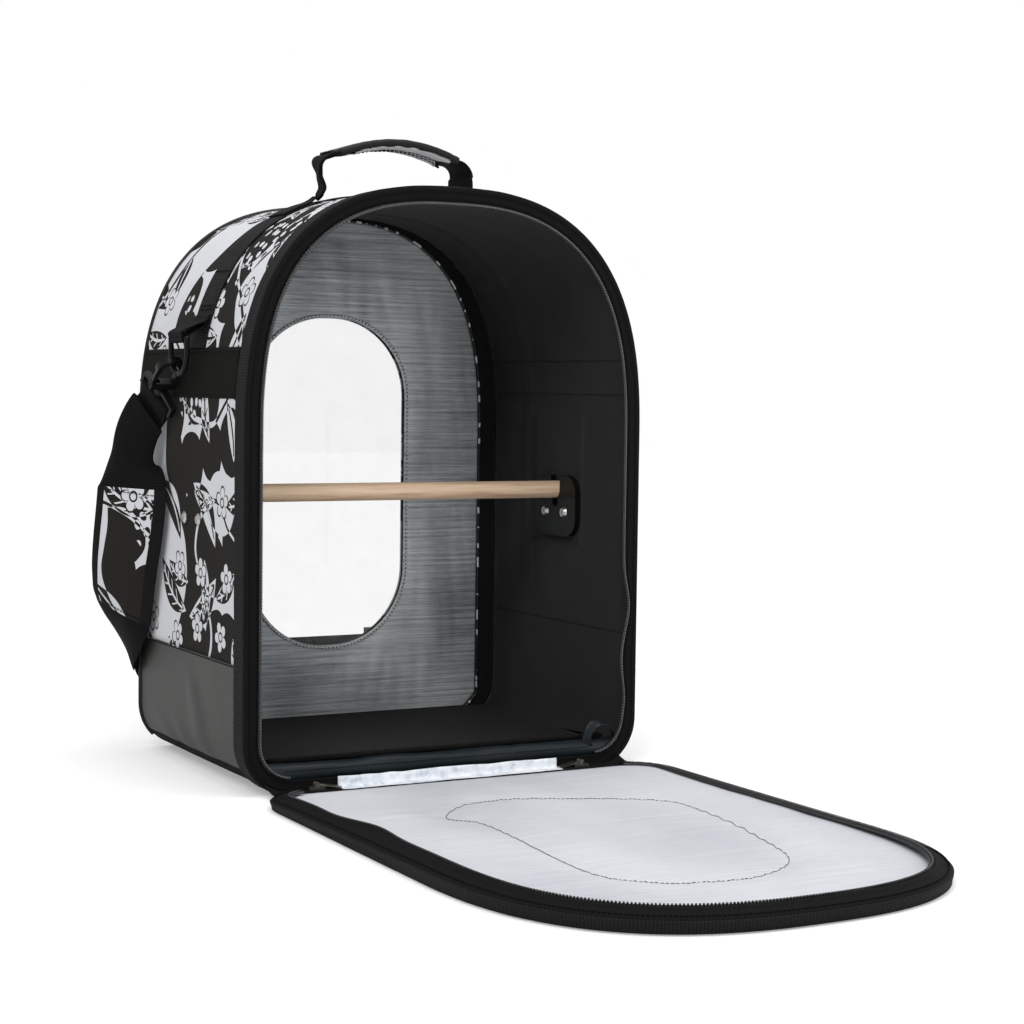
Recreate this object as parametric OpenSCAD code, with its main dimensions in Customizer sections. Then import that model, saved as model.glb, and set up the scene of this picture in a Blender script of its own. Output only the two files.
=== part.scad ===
// Soft-sided bird travel carrier: an arched cabin with stiffened walls, a see-through
// back window, a perch on two cradles, a zip door that folds down flat on the floor,
// a carrying handle and a padded shoulder strap.
// X runs to the right, Y to the back and Z up; the origin is the middle of the underside.

/* [Body] */
// Width of the cabin across the covers
body_w = 370; // [300:1:460]
// Height from the floor to the crown of the arch
body_h = 500; // [420:1:600]
// Depth of the cabin without the door
body_d = 264; // [210:1:330]
// Height where the straight sides turn into the arch
spring_z = 290; // [220:1:340]
// Squareness of the arch, 2 is an ellipse
arch_power = 2.6; // [2:0.1:3.5]
// Radius of the two long lower edges
corner_r = 42; // [24:1:50]
// Height of the vinyl boot around the bottom
boot_h = 108; // [70:1:150]

/* [Walls] */
// Thickness of the outer covers
cover_t = 1.2; // [0.8:0.1:2]
// Thickness of the stiffening boards
board_t = 4; // [2:0.5:6]
// Thickness of the inner lining
lining_t = 0.8; // [0.5:0.1:1.5]
// Height of the turned-up sides of the base tray
tray_side_h = 62; // [50:1:90]
// Size of the piping round the back edge
piping_r = 3; // [2:0.5:4]

/* [Front edge] */
// Width of the ribbed binding round the front edge
binding_w = 23; // [16:1:34]
// Thickness of the ribbed binding
binding_t = 1.4; // [1:0.1:2]
// Width of the zip tape that faces forwards
tape_w = 11; // [8:1:16]
// Thickness of the zip tape
tape_t = 1.2; // [0.8:0.1:1.6]
// Width of the zip coil
coil_w = 3.6; // [2.5:0.1:5]

/* [Window] */
// Width of the back window
window_w = 158; // [110:1:200]
// Height of the lower edge of the window
window_z = 86; // [70:1:120]
// Height of the window from edge to edge
window_h = 312; // [240:1:340]
// Corner radius of the window
window_r = 74; // [40:1:78]
// Width of the bound edge round the window
window_band = 9; // [6:1:14]
// Thickness of the clear vinyl
film_t = 0.6; // [0.4:0.1:1]

/* [Webbing] */
// Width of the webbing that carries the load
webbing_w = 38; // [25:1:50]
// Thickness of the webbing
webbing_t = 1.5; // [1:0.1:2.5]
// Height of the lower edge of the side bands
side_band_z = 322; // [280:1:340]
// Height of the side bands
side_band_h = 42; // [30:1:60]
// Where the top webbing crosses, from the middle of the depth
webbing_y = -6; // [-30:1:30]

/* [Floor] */
// Thickness of the padded floor liner
liner_t = 10; // [6:1:16]
// Height that the liner's front roll stands above the liner
roll_rise = 8; // [4:1:14]
// Thickness of the floor mat
mat_t = 3.6; // [2:0.1:6]
// Gap between the mat and the walls
mat_gap = 2; // [1:0.5:8]
// Slope of the mat's front edge where it rides up on the roll
mat_slope = 17; // [10:1:24]

/* [Perch] */
// Diameter of the wooden perch
perch_d = 16; // [12:0.5:20]
// Height of the middle of the perch
perch_z = 240; // [180:1:280]
// Where the perch crosses, from the middle of the depth
perch_y = -6; // [-20:1:20]
// Length of each perch bracket along the wall
bracket_l = 74; // [56:1:90]
// Height of each perch bracket
bracket_h = 56; // [46:1:70]
// Thickness of each perch bracket
bracket_t = 6; // [4:0.5:16]
// Corner radius of a bracket
bracket_r = 17; // [8:1:22]
// Distance between the two screws of a bracket
screw_pitch = 34; // [26:1:40]
// Diameter of the screw shanks
screw_d = 4; // [3:0.5:5]
// Diameter of the screw heads
screw_head_d = 10.5; // [7:0.5:11]

/* [Door] */
// Depth of the door's side walls
door_depth = 26; // [18:1:40]
// Width of the ribbed binding along the door's edge
door_binding_w = 14; // [10:1:20]
// Half width of the pale strip in the fold of the door
fold_strip_half = 104; // [70:1:120]

/* [Handle] */
// Distance between the legs of the handle
handle_span = 140; // [110:1:190]
// Height of the grip above the crown of the arch
handle_rise = 48; // [35:1:70]
// Thickness of the folded handle webbing
handle_t = 3; // [2:0.5:4]

/* [Strap fittings] */
// Thickness of the D-ring wire
ring_wire = 4.5; // [3:0.1:5]
// Height of the D-ring's bar above the floor
ring_bar_z = 372; // [350:1:384]
// Distance of the D-rings from the side of the cabin
ring_stand = 12.5; // [11.5:0.5:15]
// Length of a snap hook from its collar to its tip
hook_l = 38; // [32:1:46]
// Width of the opening inside a snap hook
hook_gap = 14; // [13:0.5:16]
// Thickness of the hook's bar
hook_bar = 4.5; // [4:0.5:5]
// Lean of the hooks towards the back, from straight down
hook_lean = 52; // [35:1:60]

/* [Shoulder strap] */
// Width of the shoulder pad
pad_w = 80; // [60:1:90]
// Thickness of the shoulder pad
pad_t = 9; // [6:1:14]

/* [Hidden] */

// Steps that the round stretches of the outline are drawn in
corner_steps = 6;
arch_steps = 30;

// Depth planes, from the front to the back
front_y = -body_d / 2;
back_y = body_d / 2;
tape_back_y = front_y + tape_t;
binding_back_y = tape_back_y + binding_w;
tunnel_back_y = back_y - cover_t - board_t;
board_back_y = back_y - cover_t;
lining_front_y = tunnel_back_y - lining_t;

// Insets of the layers of the wall from the outside
board_in = cover_t;
lining_in = cover_t + board_t;
wall_in = cover_t + board_t + lining_t;
cabin_half = body_w / 2 - wall_in;
floor_z = wall_in;

// Zip
coil_in = tape_w + coil_w;
coil_h = 3;
zip_gap = 0.5;

// Floor
liner_top = floor_z + liner_t;
roll_r = (liner_t + roll_rise) / 2;
roll_y = tape_back_y + roll_r + 2;
mat_seat = 0.3;

// Perch
perch_r = perch_d / 2;
cradle_gap = 0.3;
bracket_top = perch_z + perch_r + 5;
bracket_z = bracket_top - bracket_h / 2;
perch_end_gap = 1;
screw_z = perch_z - 21;
screw_clear = 0.2;

// Door, which is modelled shut and then laid open on the floor
door_open = 90;
fold_y = front_y - door_depth;
fold_t = 2.6;
floor_clear = 0.5;
fold_z = floor_clear + fold_t / 2;
door_front_y = fold_y - fold_z + floor_clear;
door_back_y = front_y - zip_gap;
door_edge_in = 2;
fold_gap = fold_t / 2 + 0.3;
flat_half = body_w / 2 - corner_r - 8;

// Handle
handle_seat = 0.3;
handle_leg_x = handle_span / 2;
handle_disc_r = webbing_w / 2;
handle_foot_z = surface_z(handle_leg_x - handle_t / 2) + webbing_t + handle_seat;
handle_axis_z = handle_foot_z + handle_disc_r;

// Strap fittings
wire_r = ring_wire / 2;
ring_slack = 1;
bow_r = webbing_w / 2 + ring_slack;
ring_leg = 10;
bow_z = ring_bar_z - ring_leg;
ring_x = body_w / 2 + ring_stand;
tab_clear = 0.1;
hook_axis_x = ring_x + 1.4;
hook_half = hook_gap / 2;
hook_out = hook_half + hook_bar;
hook_t = 7;
hook_seat_u = hook_l - hook_out + 3.7;
collar_r = bow_r + hook_seat_u;
eye_bar_r = collar_r + 14;
eye_turn = 68;
eye_inner = webbing_w + 1;
gate_pivot_u = 5;
gate_pin_r = 1.2;
gate_bore_gap = 0.08;

// The strap's end loops round the bar of the swivel eye and leaves it along the hook
eye_bar_d = 5;
loop_tail = 15;
strap_away = [0, sin(hook_lean), -cos(hook_lean)];
strap_start = [-hook_axis_x, webbing_y, bow_z] + (eye_bar_r + loop_tail - 1) * strap_away;
eye_wide = [-cos(eye_turn), sin(eye_turn) * cos(hook_lean), sin(eye_turn) * sin(hook_lean)];

back_run_y = back_y + 25;
back_run_z = 72;

// Route of the shoulder strap on the left, from the swivel eye to the middle of the
// back; each stop is a place and the direction in which the webbing is wide
side_x = -body_w / 2;
strap_stops = [
  [strap_start, eye_wide],
  [[side_x - 18, 71, 300], [-0.48, 0.66, 0.57]],
  [[side_x - 21, 80, 283], [-0.52, 0.74, 0.42]],
  [[side_x - 22, 84, 263], [-0.52, 0.80, 0.28]],
  [[side_x - 22.5, 81, 241], [-0.52, 0.81, 0.25]],
  [[side_x - 23, 86, 214], [-0.52, 0.81, 0.25]],
  [[side_x - 23, 96, 187], [-0.50, 0.81, 0.28]],
  [[side_x - 22, 106, 161], [-0.47, 0.81, 0.33]],
  [[side_x - 19, 117, 134], [-0.42, 0.80, 0.40]],
  [[side_x - 13, 129, 108], [-0.30, 0.70, 0.62]],
  [[side_x - 4, 142, 89], [-0.14, 0.45, 0.88]],
  [[side_x + 13, 153, 77], [-0.04, 0.16, 0.98]],
  [[side_x + 35, back_run_y, back_run_z], [0, 0, 1]]
];
back_run_x = body_w / 2 - 35;
run_steps = 3;
pad_first = 1;
pad_last = 31;

// A point of the arch at turn t, moved outwards by off
function arch_normal(t) =
  let (c = cos(t), s = sin(t), a = body_w / 2, b = body_h - spring_z,
       g = [sign(c) * pow(abs(c), 2 - 2 / arch_power) / a, pow(abs(s), 2 - 2 / arch_power) / b])
  g / norm(g);
function arch_point(t, off) =
  let (c = cos(t), s = sin(t))
  [body_w / 2 * sign(c) * pow(abs(c), 2 / arch_power),
   spring_z + (body_h - spring_z) * pow(abs(s), 2 / arch_power)] + off * arch_normal(t);

// Height of the outside of the arch over x
function surface_z(x) =
  spring_z + (body_h - spring_z) * pow(1 - pow(abs(x) / (body_w / 2), arch_power), 1 / arch_power);
// Half width of the outside at height z above the spring line
function surface_x(z) =
  body_w / 2 * pow(1 - pow(max(z - spring_z, 0) / (body_h - spring_z), arch_power), 1 / arch_power);

function corner(side, off) =
  [for (i = [0:corner_steps]) let (a = side > 0 ? -90 + 90 * i / corner_steps : 180 + 90 * i / corner_steps)
    [side * (body_w / 2 - corner_r) + (corner_r + off) * cos(a), corner_r + (corner_r + off) * sin(a)]];

// Upright outline of the cabin, moved outwards by off
function outline(off) =
  concat(corner(1, off), [for (i = [0:arch_steps]) arch_point(180 * i / arch_steps, off)],
         corner(-1, off));

// Outline with the direction outwards at each point
function outline_normals() =
  concat([for (i = [0:corner_steps]) let (a = -90 + 90 * i / corner_steps) [cos(a), sin(a)]],
         [for (i = [0:arch_steps]) arch_normal(180 * i / arch_steps)],
         [for (i = [0:corner_steps]) let (a = 180 + 90 * i / corner_steps) [cos(a), sin(a)]]);

module upright(y0, y1) {
  translate([0, y1, 0]) rotate([90, 0, 0]) linear_extrude(y1 - y0) children();
}

module ring_2d(out_off, in_off) {
  difference() {
    polygon(outline(out_off));
    polygon(outline(in_off));
  }
}

module ring(out_off, in_off, y0, y1) {
  upright(y0, y1) ring_2d(out_off, in_off);
}

// A band swept round the outline; its section is a list of [outwards, back] points
module swept_band(section, first, last, closed) {
  base = outline(0);
  away = outline_normals();
  rows = [for (i = [first:last]) [for (s = section)
    [base[i][0] + away[i][0] * s[0], s[1], base[i][1] + away[i][1] * s[0]]]];
  tube(rows, closed);
}

// Skin over rows of points; open tubes get end caps
module tube(rows, closed, flip = false) {
  n = len(rows);
  m = len(rows[0]);
  spans = closed ? n : n - 1;
  pts = [for (r = rows) for (p = r) p];
  sides = [for (i = [0:spans - 1]) for (j = [0:m - 1]) let (
      a = i * m + j, b = i * m + (j + 1) % m,
      c = ((i + 1) % n) * m + (j + 1) % m, d = ((i + 1) % n) * m + j)
    each (flip ? [[a, b, d], [b, c, d]] : [[a, b, c], [a, c, d]])];
  caps = closed ? [] : [
    [for (j = [m - 1:-1:0]) j],
    [for (j = [0:m - 1]) (n - 1) * m + j]];
  polyhedron(points = pts, faces = concat(sides, caps), convexity = 8);
}

module rounded_rect(w, h, r) {
  square([w - 2 * r, h], center = true);
  square([w, h - 2 * r], center = true);
  for (x = [-1, 1], y = [-1, 1])
    translate([x * (w / 2 - r), y * (h / 2 - r)]) circle(r, $fn = 48);
}

module window_2d(grow) {
  translate([0, window_z + window_h / 2])
    rounded_rect(window_w + 2 * grow, window_h + 2 * grow, window_r + grow);
}

// Boxes that keep what lies above or below a height
module above(z) {
  intersection() {
    children();
    translate([-body_w, -body_d, z]) cube([2 * body_w, 2 * body_d, body_h]);
  }
}
module below(z) {
  intersection() {
    children();
    translate([-body_w, -body_d, -body_h]) cube([2 * body_w, 2 * body_d, body_h + z]);
  }
}

// Places of the four perch screws
module at_screws(side) {
  for (s = [-1, 1]) translate([side * body_w / 2, perch_y + s * screw_pitch / 2, screw_z])
    rotate([0, side * 90, 0]) children();
}
module screw_holes(side) {
  at_screws(side) translate([0, 0, -wall_in - bracket_t - 5])
    cylinder(h = wall_in + bracket_t + 10, d = screw_d + 2 * screw_clear, $fn = 32);
}

module print_cover() {
  color([0.75, 0.75, 0.77]) difference() {
    above(boot_h) ring(0, -board_in, tape_back_y, board_back_y);
    screw_holes(-1);
    screw_holes(1);
  }
}

module vinyl_boot() {
  color([0.28, 0.28, 0.27]) below(boot_h) ring(0, -board_in, tape_back_y, board_back_y);
}

module wall_board() {
  color([0.6, 0.6, 0.58]) difference() {
    above(tray_side_h) ring(-board_in, -lining_in, tape_back_y, tunnel_back_y);
    screw_holes(-1);
    screw_holes(1);
  }
}

module base_tray() {
  color([0.2, 0.2, 0.2]) below(tray_side_h) ring(-board_in, -lining_in, tape_back_y, tunnel_back_y);
}

module wall_lining() {
  color([0.1, 0.1, 0.1]) difference() {
    ring(-lining_in, -wall_in, tape_back_y, tunnel_back_y);
    screw_holes(-1);
    screw_holes(1);
  }
}

module front_binding() {
  color([0.13, 0.13, 0.13]) difference() {
    ring(binding_t, 0, tape_back_y, binding_back_y);
    below_ground();
  }
}

// What would reach under the floor is cut away flat
module below_ground() {
  translate([-body_w, -2 * body_d, -20]) cube([2 * body_w, 4 * body_d, 20]);
}

module body_zip_tape() {
  color([0.09, 0.09, 0.09]) difference() {
    ring(binding_t, -tape_w, front_y, tape_back_y);
    below_ground();
  }
}

module body_zip_coil() {
  color([0.16, 0.16, 0.16]) difference() {
    ring(-tape_w, -coil_in, front_y, front_y + coil_h);
    translate([-flat_half, front_y - 1, -1]) cube([2 * flat_half, coil_h + 2, coil_in + 20]);
  }
}

// Half-round piping that sits on the outside of the back edge
module rear_piping() {
  section = [for (a = [-90:30:90]) [piping_r * cos(a), board_back_y - 1.5 + piping_r * sin(a)]];
  color([0.1, 0.1, 0.1]) swept_band(section, corner_steps, len(outline(0)) - 1 - corner_steps, false);
}

module back_2d(inset, hole_grow) {
  difference() {
    polygon(outline(-inset));
    window_2d(hole_grow);
  }
}

module back_cover() {
  color([0.75, 0.75, 0.77]) above(boot_h) upright(board_back_y, back_y) back_2d(0, 0);
}

module back_boot() {
  color([0.28, 0.28, 0.27]) below(boot_h) upright(board_back_y, back_y) back_2d(0, 0);
}

module back_board() {
  color([0.6, 0.6, 0.58]) upright(tunnel_back_y, board_back_y) back_2d(board_in, film_t);
}

// The silver panel leaves a dark seam that is wide at the sides and narrow at the top
seam_side = 19;
seam_top = 4;
module panel_2d(grow) {
  half = cabin_half - seam_side + grow;
  top = body_h - wall_in - seam_top + grow;
  low = floor_z + seam_top - grow;
  polygon(concat([[-half, low + 20], [-half + 20, low], [half - 20, low], [half, low + 20]],
    [for (i = [0:arch_steps]) let (c = cos(180 * i / arch_steps), s = sin(180 * i / arch_steps))
      [half * sign(c) * pow(abs(c), 2 / arch_power),
       spring_z + (top - spring_z) * pow(abs(s), 2 / arch_power)]]));
}

module back_lining() {
  color([0.55, 0.58, 0.62]) upright(lining_front_y - 1.2, tunnel_back_y) difference() {
    panel_2d(0);
    window_2d(0);
  }
}

module back_seam_binding() {
  color([0.08, 0.08, 0.08]) upright(lining_front_y - 2, tunnel_back_y) difference() {
    polygon(outline(-wall_in));
    panel_2d(0);
  }
}

// The film lies in the board's opening, held between the cover and the lining
module window_film() {
  color([0.85, 0.9, 0.92, 0.35]) upright(board_back_y - film_t, board_back_y) window_2d(film_t - 0.2);
}

module window_binding() {
  color([0.1, 0.1, 0.1]) upright(back_y, back_y + 1.2) difference() {
    window_2d(window_band);
    window_2d(0);
  }
}

module side_band(side) {
  color([0.12, 0.12, 0.12]) intersection() {
    ring(webbing_t, 0, binding_back_y, board_back_y - 1.5 - piping_r);
    translate([side > 0 ? 0 : -body_w, -body_d, side_band_z]) cube([body_w, 2 * body_d, side_band_h]);
  }
}
module side_band_left() { side_band(-1); }
module side_band_right() { side_band(1); }

// The webbing runs down to the side bands, under the tabs that hold the D-rings
tab_top_z = ring_bar_z + 19;
module top_webbing() {
  color([0.12, 0.12, 0.12]) above(side_band_z + side_band_h)
    ring(webbing_t, 0, webbing_y - webbing_w / 2, webbing_y + webbing_w / 2);
}

// A fold of webbing from the side of the cabin round the bar of the D-ring
module ring_tab(side) {
  tab_out = wire_r + tab_clear + webbing_t;
  wall_low = surface_x(ring_bar_z + 12) + webbing_t;
  wall_high = surface_x(tab_top_z) + webbing_t;
  color([0.12, 0.12, 0.12]) translate([0, webbing_y + webbing_w / 2 - 2, 0]) rotate([90, 0, 0])
    linear_extrude(webbing_w - 4) scale_x(side) difference() {
      union() {
        translate([ring_x, ring_bar_z]) circle(tab_out, $fn = 48);
        difference() {
          polygon([[ring_x + tab_out, ring_bar_z], [ring_x + tab_out - 0.4, ring_bar_z + 5],
                   [wall_high + webbing_t + 2, tab_top_z - 2], [wall_high, tab_top_z],
                   [wall_high - 6, tab_top_z], [wall_low - 3, ring_bar_z + 12],
                   [wall_low + 2, ring_bar_z + 11], [ring_x - tab_out, ring_bar_z]]);
          polygon(outline(webbing_t));
        }
      }
      translate([ring_x, ring_bar_z]) circle(wire_r + tab_clear, $fn = 48);
    }
}
module scale_x(side) {
  if (side < 0) mirror([1, 0, 0]) children();
  else children();
}
module ring_tab_left() { ring_tab(-1); }
module ring_tab_right() { ring_tab(1); }

// Straight bar, two short legs and a half-round bow
module d_ring(side) {
  color([0.1, 0.1, 0.1]) translate([side * ring_x, webbing_y, bow_z]) {
    rotate([0, 90, 0]) rotate([0, 0, -90]) rotate_extrude(angle = 180, $fn = 64)
      translate([bow_r, 0]) circle(wire_r, $fn = 24);
    for (s = [-1, 1]) translate([0, s * bow_r, 0]) {
      cylinder(h = ring_leg, r = wire_r, $fn = 24);
      translate([0, 0, ring_leg]) sphere(wire_r, $fn = 24);
    }
    translate([0, bow_r, ring_leg]) rotate([90, 0, 0]) cylinder(h = 2 * bow_r, r = wire_r, $fn = 24);
  }
}
module d_ring_left() { d_ring(-1); }
module d_ring_right() { d_ring(1); }

// Points beside a path of [x, z] points, off to its left
function side_of(path, off) =
  [for (i = [0:len(path) - 1]) let (
      a = path[max(i - 1, 0)], b = path[min(i + 1, len(path) - 1)], d = (b - a) / norm(b - a))
    path[i] + off * [-d[1], d[0]]];
function reversed(list) = [for (i = [len(list) - 1:-1:0]) list[i]];
function ribbon(path, low, high) = concat(side_of(path, low), reversed(side_of(path, high)));

// Side view of the handle: two upright legs and a bowed grip between rounded shoulders
crown_z = body_h + handle_rise;
shoulder_r = 13;
grip_bow = 12;
grip_steps = 12;
function handle_half(side) = let (z0 = crown_z - grip_bow - shoulder_r) concat(
  [[side * handle_leg_x, handle_axis_z], [side * handle_leg_x, z0]],
  [for (a = [15:15:75]) [side * (handle_leg_x - shoulder_r + shoulder_r * cos(a)), z0 + shoulder_r * sin(a)]]);
function grip_path(half) = [for (i = [0:grip_steps]) let (x = half * (1 - 2 * i / grip_steps))
  [x, crown_z - grip_bow * pow(x / (handle_leg_x - shoulder_r), 2)]];

handle_path = concat(handle_half(1), grip_path(handle_leg_x - shoulder_r), reversed(handle_half(-1)));
grip_first = len(handle_half(1)) - 1;
grip_last = len(handle_path) - 1 - grip_first;
function grip_side(off) = let (line = side_of(handle_path, off)) [for (i = [grip_first:grip_last]) line[i]];
function grip_ribbon(low, high) = concat(grip_side(low), reversed(grip_side(high)));

module handle_webbing() {
  color([0.12, 0.12, 0.12]) {
    translate([0, webbing_y + webbing_w / 2, 0]) rotate([90, 0, 0])
      linear_extrude(webbing_w) polygon(ribbon(handle_path, -handle_t / 2, handle_t / 2));
    for (s = [-1, 1]) translate([s * handle_leg_x, webbing_y, handle_axis_z])
      rotate([0, 90, 0]) cylinder(h = handle_t, r = handle_disc_r, center = true, $fn = 64);
  }
}

// Vinyl sleeve folded over the top of the webbing and open underneath
module handle_grip() {
  sleeve_t = 2;
  color([0.15, 0.15, 0.15]) {
    translate([0, webbing_y + webbing_w / 2 + sleeve_t, 0]) rotate([90, 0, 0])
      linear_extrude(webbing_w + 2 * sleeve_t)
        polygon(grip_ribbon(-handle_t / 2 - sleeve_t, -handle_t / 2));
    for (s = [-1, 1]) translate([0, webbing_y + s * (webbing_w + sleeve_t) / 2 + sleeve_t / 2, 0])
      rotate([90, 0, 0]) linear_extrude(sleeve_t)
        polygon(grip_ribbon(-handle_t / 2, handle_t / 2 + sleeve_t));
  }
}

// Nylon-covered floor pad with a roll along its front edge
module floor_liner() {
  color([0.1, 0.12, 0.15]) {
    below(liner_top) upright(roll_y, lining_front_y - 4) polygon(outline(-wall_in));
    intersection() {
      upright(tape_back_y, roll_y + roll_r) polygon(outline(-wall_in));
      translate([-body_w / 2, roll_y, floor_z + roll_r]) rotate([0, 90, 0])
        cylinder(h = body_w, r = roll_r, $fn = 48);
    }
  }
}

// Covered board whose front edge rides up on the liner's roll
module floor_mat() {
  half = body_w / 2 - corner_r - mat_gap
    + sqrt(pow(corner_r - wall_in, 2) - pow(corner_r - liner_top, 2));
  z0 = liner_top + mat_seat;
  top = floor_z + roll_r + (roll_r + mat_seat) / cos(mat_slope);
  ramp_y = roll_y + (top - z0) / tan(mat_slope);
  profile = [[roll_y - 1, top + tan(mat_slope)], [ramp_y, z0], [lining_front_y - 5, z0]];
  color([0.13, 0.13, 0.13]) rotate([90, 0, 90]) translate([0, 0, -half])
    linear_extrude(2 * half) polygon(ribbon(profile, 0, mat_t));
}

// Loop of nylon tape at the right front corner for lifting the liner
module pull_loop() {
  loop_r = 13;
  loop_t = 1.6;
  loop_w = 7.5;
  foot = 6;
  color([0.12, 0.14, 0.18]) difference() {
    translate([cabin_half - 24, front_y + coil_h + loop_w, 2 * roll_r + floor_z]) rotate([90, 0, 0])
      linear_extrude(loop_w) difference() {
        union() {
          circle(loop_r, $fn = 48);
          translate([-loop_r, -foot]) square([2 * loop_r, foot]);
        }
        circle(loop_r - loop_t, $fn = 48);
        translate([-loop_r + loop_t, -20]) square([2 * (loop_r - loop_t), 20]);
        translate([-20, -20 - foot]) square([40, 20]);
      }
    translate([-body_w / 2, roll_y, floor_z + roll_r]) rotate([0, 90, 0])
      cylinder(h = body_w, r = roll_r + 0.1, $fn = 48);
  }
}

module perch() {
  color([0.85, 0.72, 0.58]) translate([-cabin_half + perch_end_gap, perch_y, perch_z])
    rotate([0, 90, 0]) cylinder(h = 2 * (cabin_half - perch_end_gap), r = perch_r, $fn = 64);
}

// Wall plate with an open-topped cradle and a narrower drain slot under it
module perch_bracket(side) {
  slot_r = perch_r * 0.62;
  color([0.12, 0.12, 0.12]) difference() {
    translate([side > 0 ? cabin_half - bracket_t : -cabin_half, perch_y, 0]) rotate([90, 0, 90])
      linear_extrude(bracket_t) difference() {
        translate([0, bracket_z]) rounded_rect(bracket_l, bracket_h, bracket_r);
        translate([0, perch_z]) circle(perch_r + cradle_gap, $fn = 64);
        translate([-perch_r - cradle_gap, perch_z])
          square([2 * (perch_r + cradle_gap), bracket_h]);
        translate([0, perch_z - perch_r - 3]) circle(slot_r, $fn = 48);
        translate([-slot_r, perch_z - perch_r - 3]) square([2 * slot_r, perch_r]);
      }
    screw_holes(side);
  }
}
module perch_bracket_left() { perch_bracket(-1); }
module perch_bracket_right() { perch_bracket(1); }

// Machine screws whose domed heads sit on the brackets inside the cabin
module perch_screws() {
  head_h = 2.6;
  color([0.75, 0.75, 0.73]) for (side = [-1, 1]) at_screws(side) {
    translate([0, 0, -wall_in - bracket_t]) cylinder(h = wall_in + bracket_t + 1.6, d = screw_d, $fn = 32);
    translate([0, 0, -wall_in - bracket_t - head_h]) difference() {
      cylinder(h = head_h, d1 = screw_head_d * 0.72, d2 = screw_head_d, $fn = 32);
      for (a = [0, 90]) rotate([0, 0, a]) translate([-2.2, -0.5, -1]) cube([4.4, 1, 2.2]);
    }
  }
}

// Flanged cap nuts outside
module perch_nuts() {
  color([0.7, 0.7, 0.68]) for (side = [-1, 1]) at_screws(side) difference() {
    union() {
      cylinder(h = 1.2, d = screw_head_d, $fn = 32);
      translate([0, 0, 1.2]) cylinder(h = 1.6, d1 = screw_head_d - 1, d2 = screw_head_d - 4, $fn = 32);
    }
    translate([0, 0, -1]) cylinder(h = 2.6, d = screw_d, $fn = 32);
  }
}

// Cloth between the front edge and the door: a pale middle and two dark ends
module fold_cloth(x0, x1) {
  translate([x0, fold_y, floor_clear]) cube([x1 - x0, front_y - fold_y, fold_t]);
  translate([x0, fold_y, fold_z]) rotate([0, 90, 0]) cylinder(h = x1 - x0, d = fold_t, $fn = 32);
}
module fold_strip() {
  color([0.82, 0.83, 0.86]) fold_cloth(-fold_strip_half, fold_strip_half);
}
module fold_flaps() {
  color([0.1, 0.1, 0.1]) {
    fold_cloth(-flat_half + 0.5, -fold_strip_half);
    fold_cloth(fold_strip_half, flat_half - 0.5);
  }
}

// The two zip sliders parked at the ends of the zip, on the dark ends of the fold
slider_l = 13;
slider_w = 9;
slider_h = 3;
slider_x = flat_half - 3 - slider_l / 2;
slider_y = front_y - 2 - slider_w / 2;
slider_z = floor_clear + fold_t;
tab_pin_z = slider_z + slider_h + 2;
tab_pin_r = 0.8;
tab_reach = 22;
tab_droop = 10;
module zip_sliders() {
  color([0.3, 0.28, 0.26]) for (s = [-1, 1]) translate([s * slider_x, slider_y, slider_z]) {
    difference() {
      linear_extrude(slider_h) polygon([[-slider_l / 2, -slider_w / 2 + 2], [slider_l / 2, -slider_w / 2],
        [slider_l / 2, slider_w / 2], [-slider_l / 2, slider_w / 2 - 2]]);
      translate([-slider_l, -0.6, 1]) cube([2 * slider_l, 1.2, 1.2]);
    }
    for (e = [-1, 1]) translate([0, e * 2.4 - 0.6, slider_h]) difference() {
      translate([-1.8, 0, 0]) cube([3.6, 1.2, 3.6]);
      translate([0, -1, tab_pin_z - slider_z - slider_h]) rotate([-90, 0, 0])
        cylinder(h = 4, r = tab_pin_r + 0.08, $fn = 24);
    }
  }
}

// Flat tapered pull that hinges on its pin and lies towards the middle
module pull_tab(side) {
  color([0.35, 0.32, 0.3]) translate([side * slider_x, slider_y, tab_pin_z]) scale_x(side) {
    rotate([90, 0, 0]) cylinder(h = 6, r = tab_pin_r, center = true, $fn = 24);
    rotate([90, 0, 0]) cylinder(h = 3.2, r = 1.3, center = true, $fn = 24);
    rotate([0, -tab_droop, 0]) translate([0, 0, -0.7]) linear_extrude(1.4) difference() {
      polygon([[0, -1.5], [0, 1.5], [-2.6, 1.5], [-7, 3.6], [-tab_reach, 2.6], [-tab_reach, -2.6],
               [-7, -3.6], [-2.6, -1.5]]);
      translate([-tab_reach + 4, 0]) circle(1.4, $fn = 24);
    }
  }
}
module pull_tab_left() { pull_tab(-1); }
module pull_tab_right() { pull_tab(1); }

// Lays the shut door down on the floor about its fold
module opened() {
  translate([0, fold_y, fold_z]) rotate([door_open, 0, 0]) translate([0, -fold_y, -fold_z]) children();
}
module door_panel(inset, y0, y1) {
  opened() above(fold_z + fold_gap) upright(y0, y1) polygon(outline(-inset));
}
door_cover_y = door_front_y + cover_t;
door_board_y = door_cover_y + 3;
door_lining_y = door_board_y + 1.2;

module door_cover() {
  color([0.75, 0.75, 0.77]) door_panel(0, door_front_y, door_cover_y);
}
module door_board() {
  color([0.6, 0.6, 0.58]) door_panel(door_edge_in, door_cover_y, door_board_y);
}
module door_lining() {
  color([0.85, 0.86, 0.88]) door_panel(door_edge_in, door_board_y, door_lining_y);
}

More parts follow.
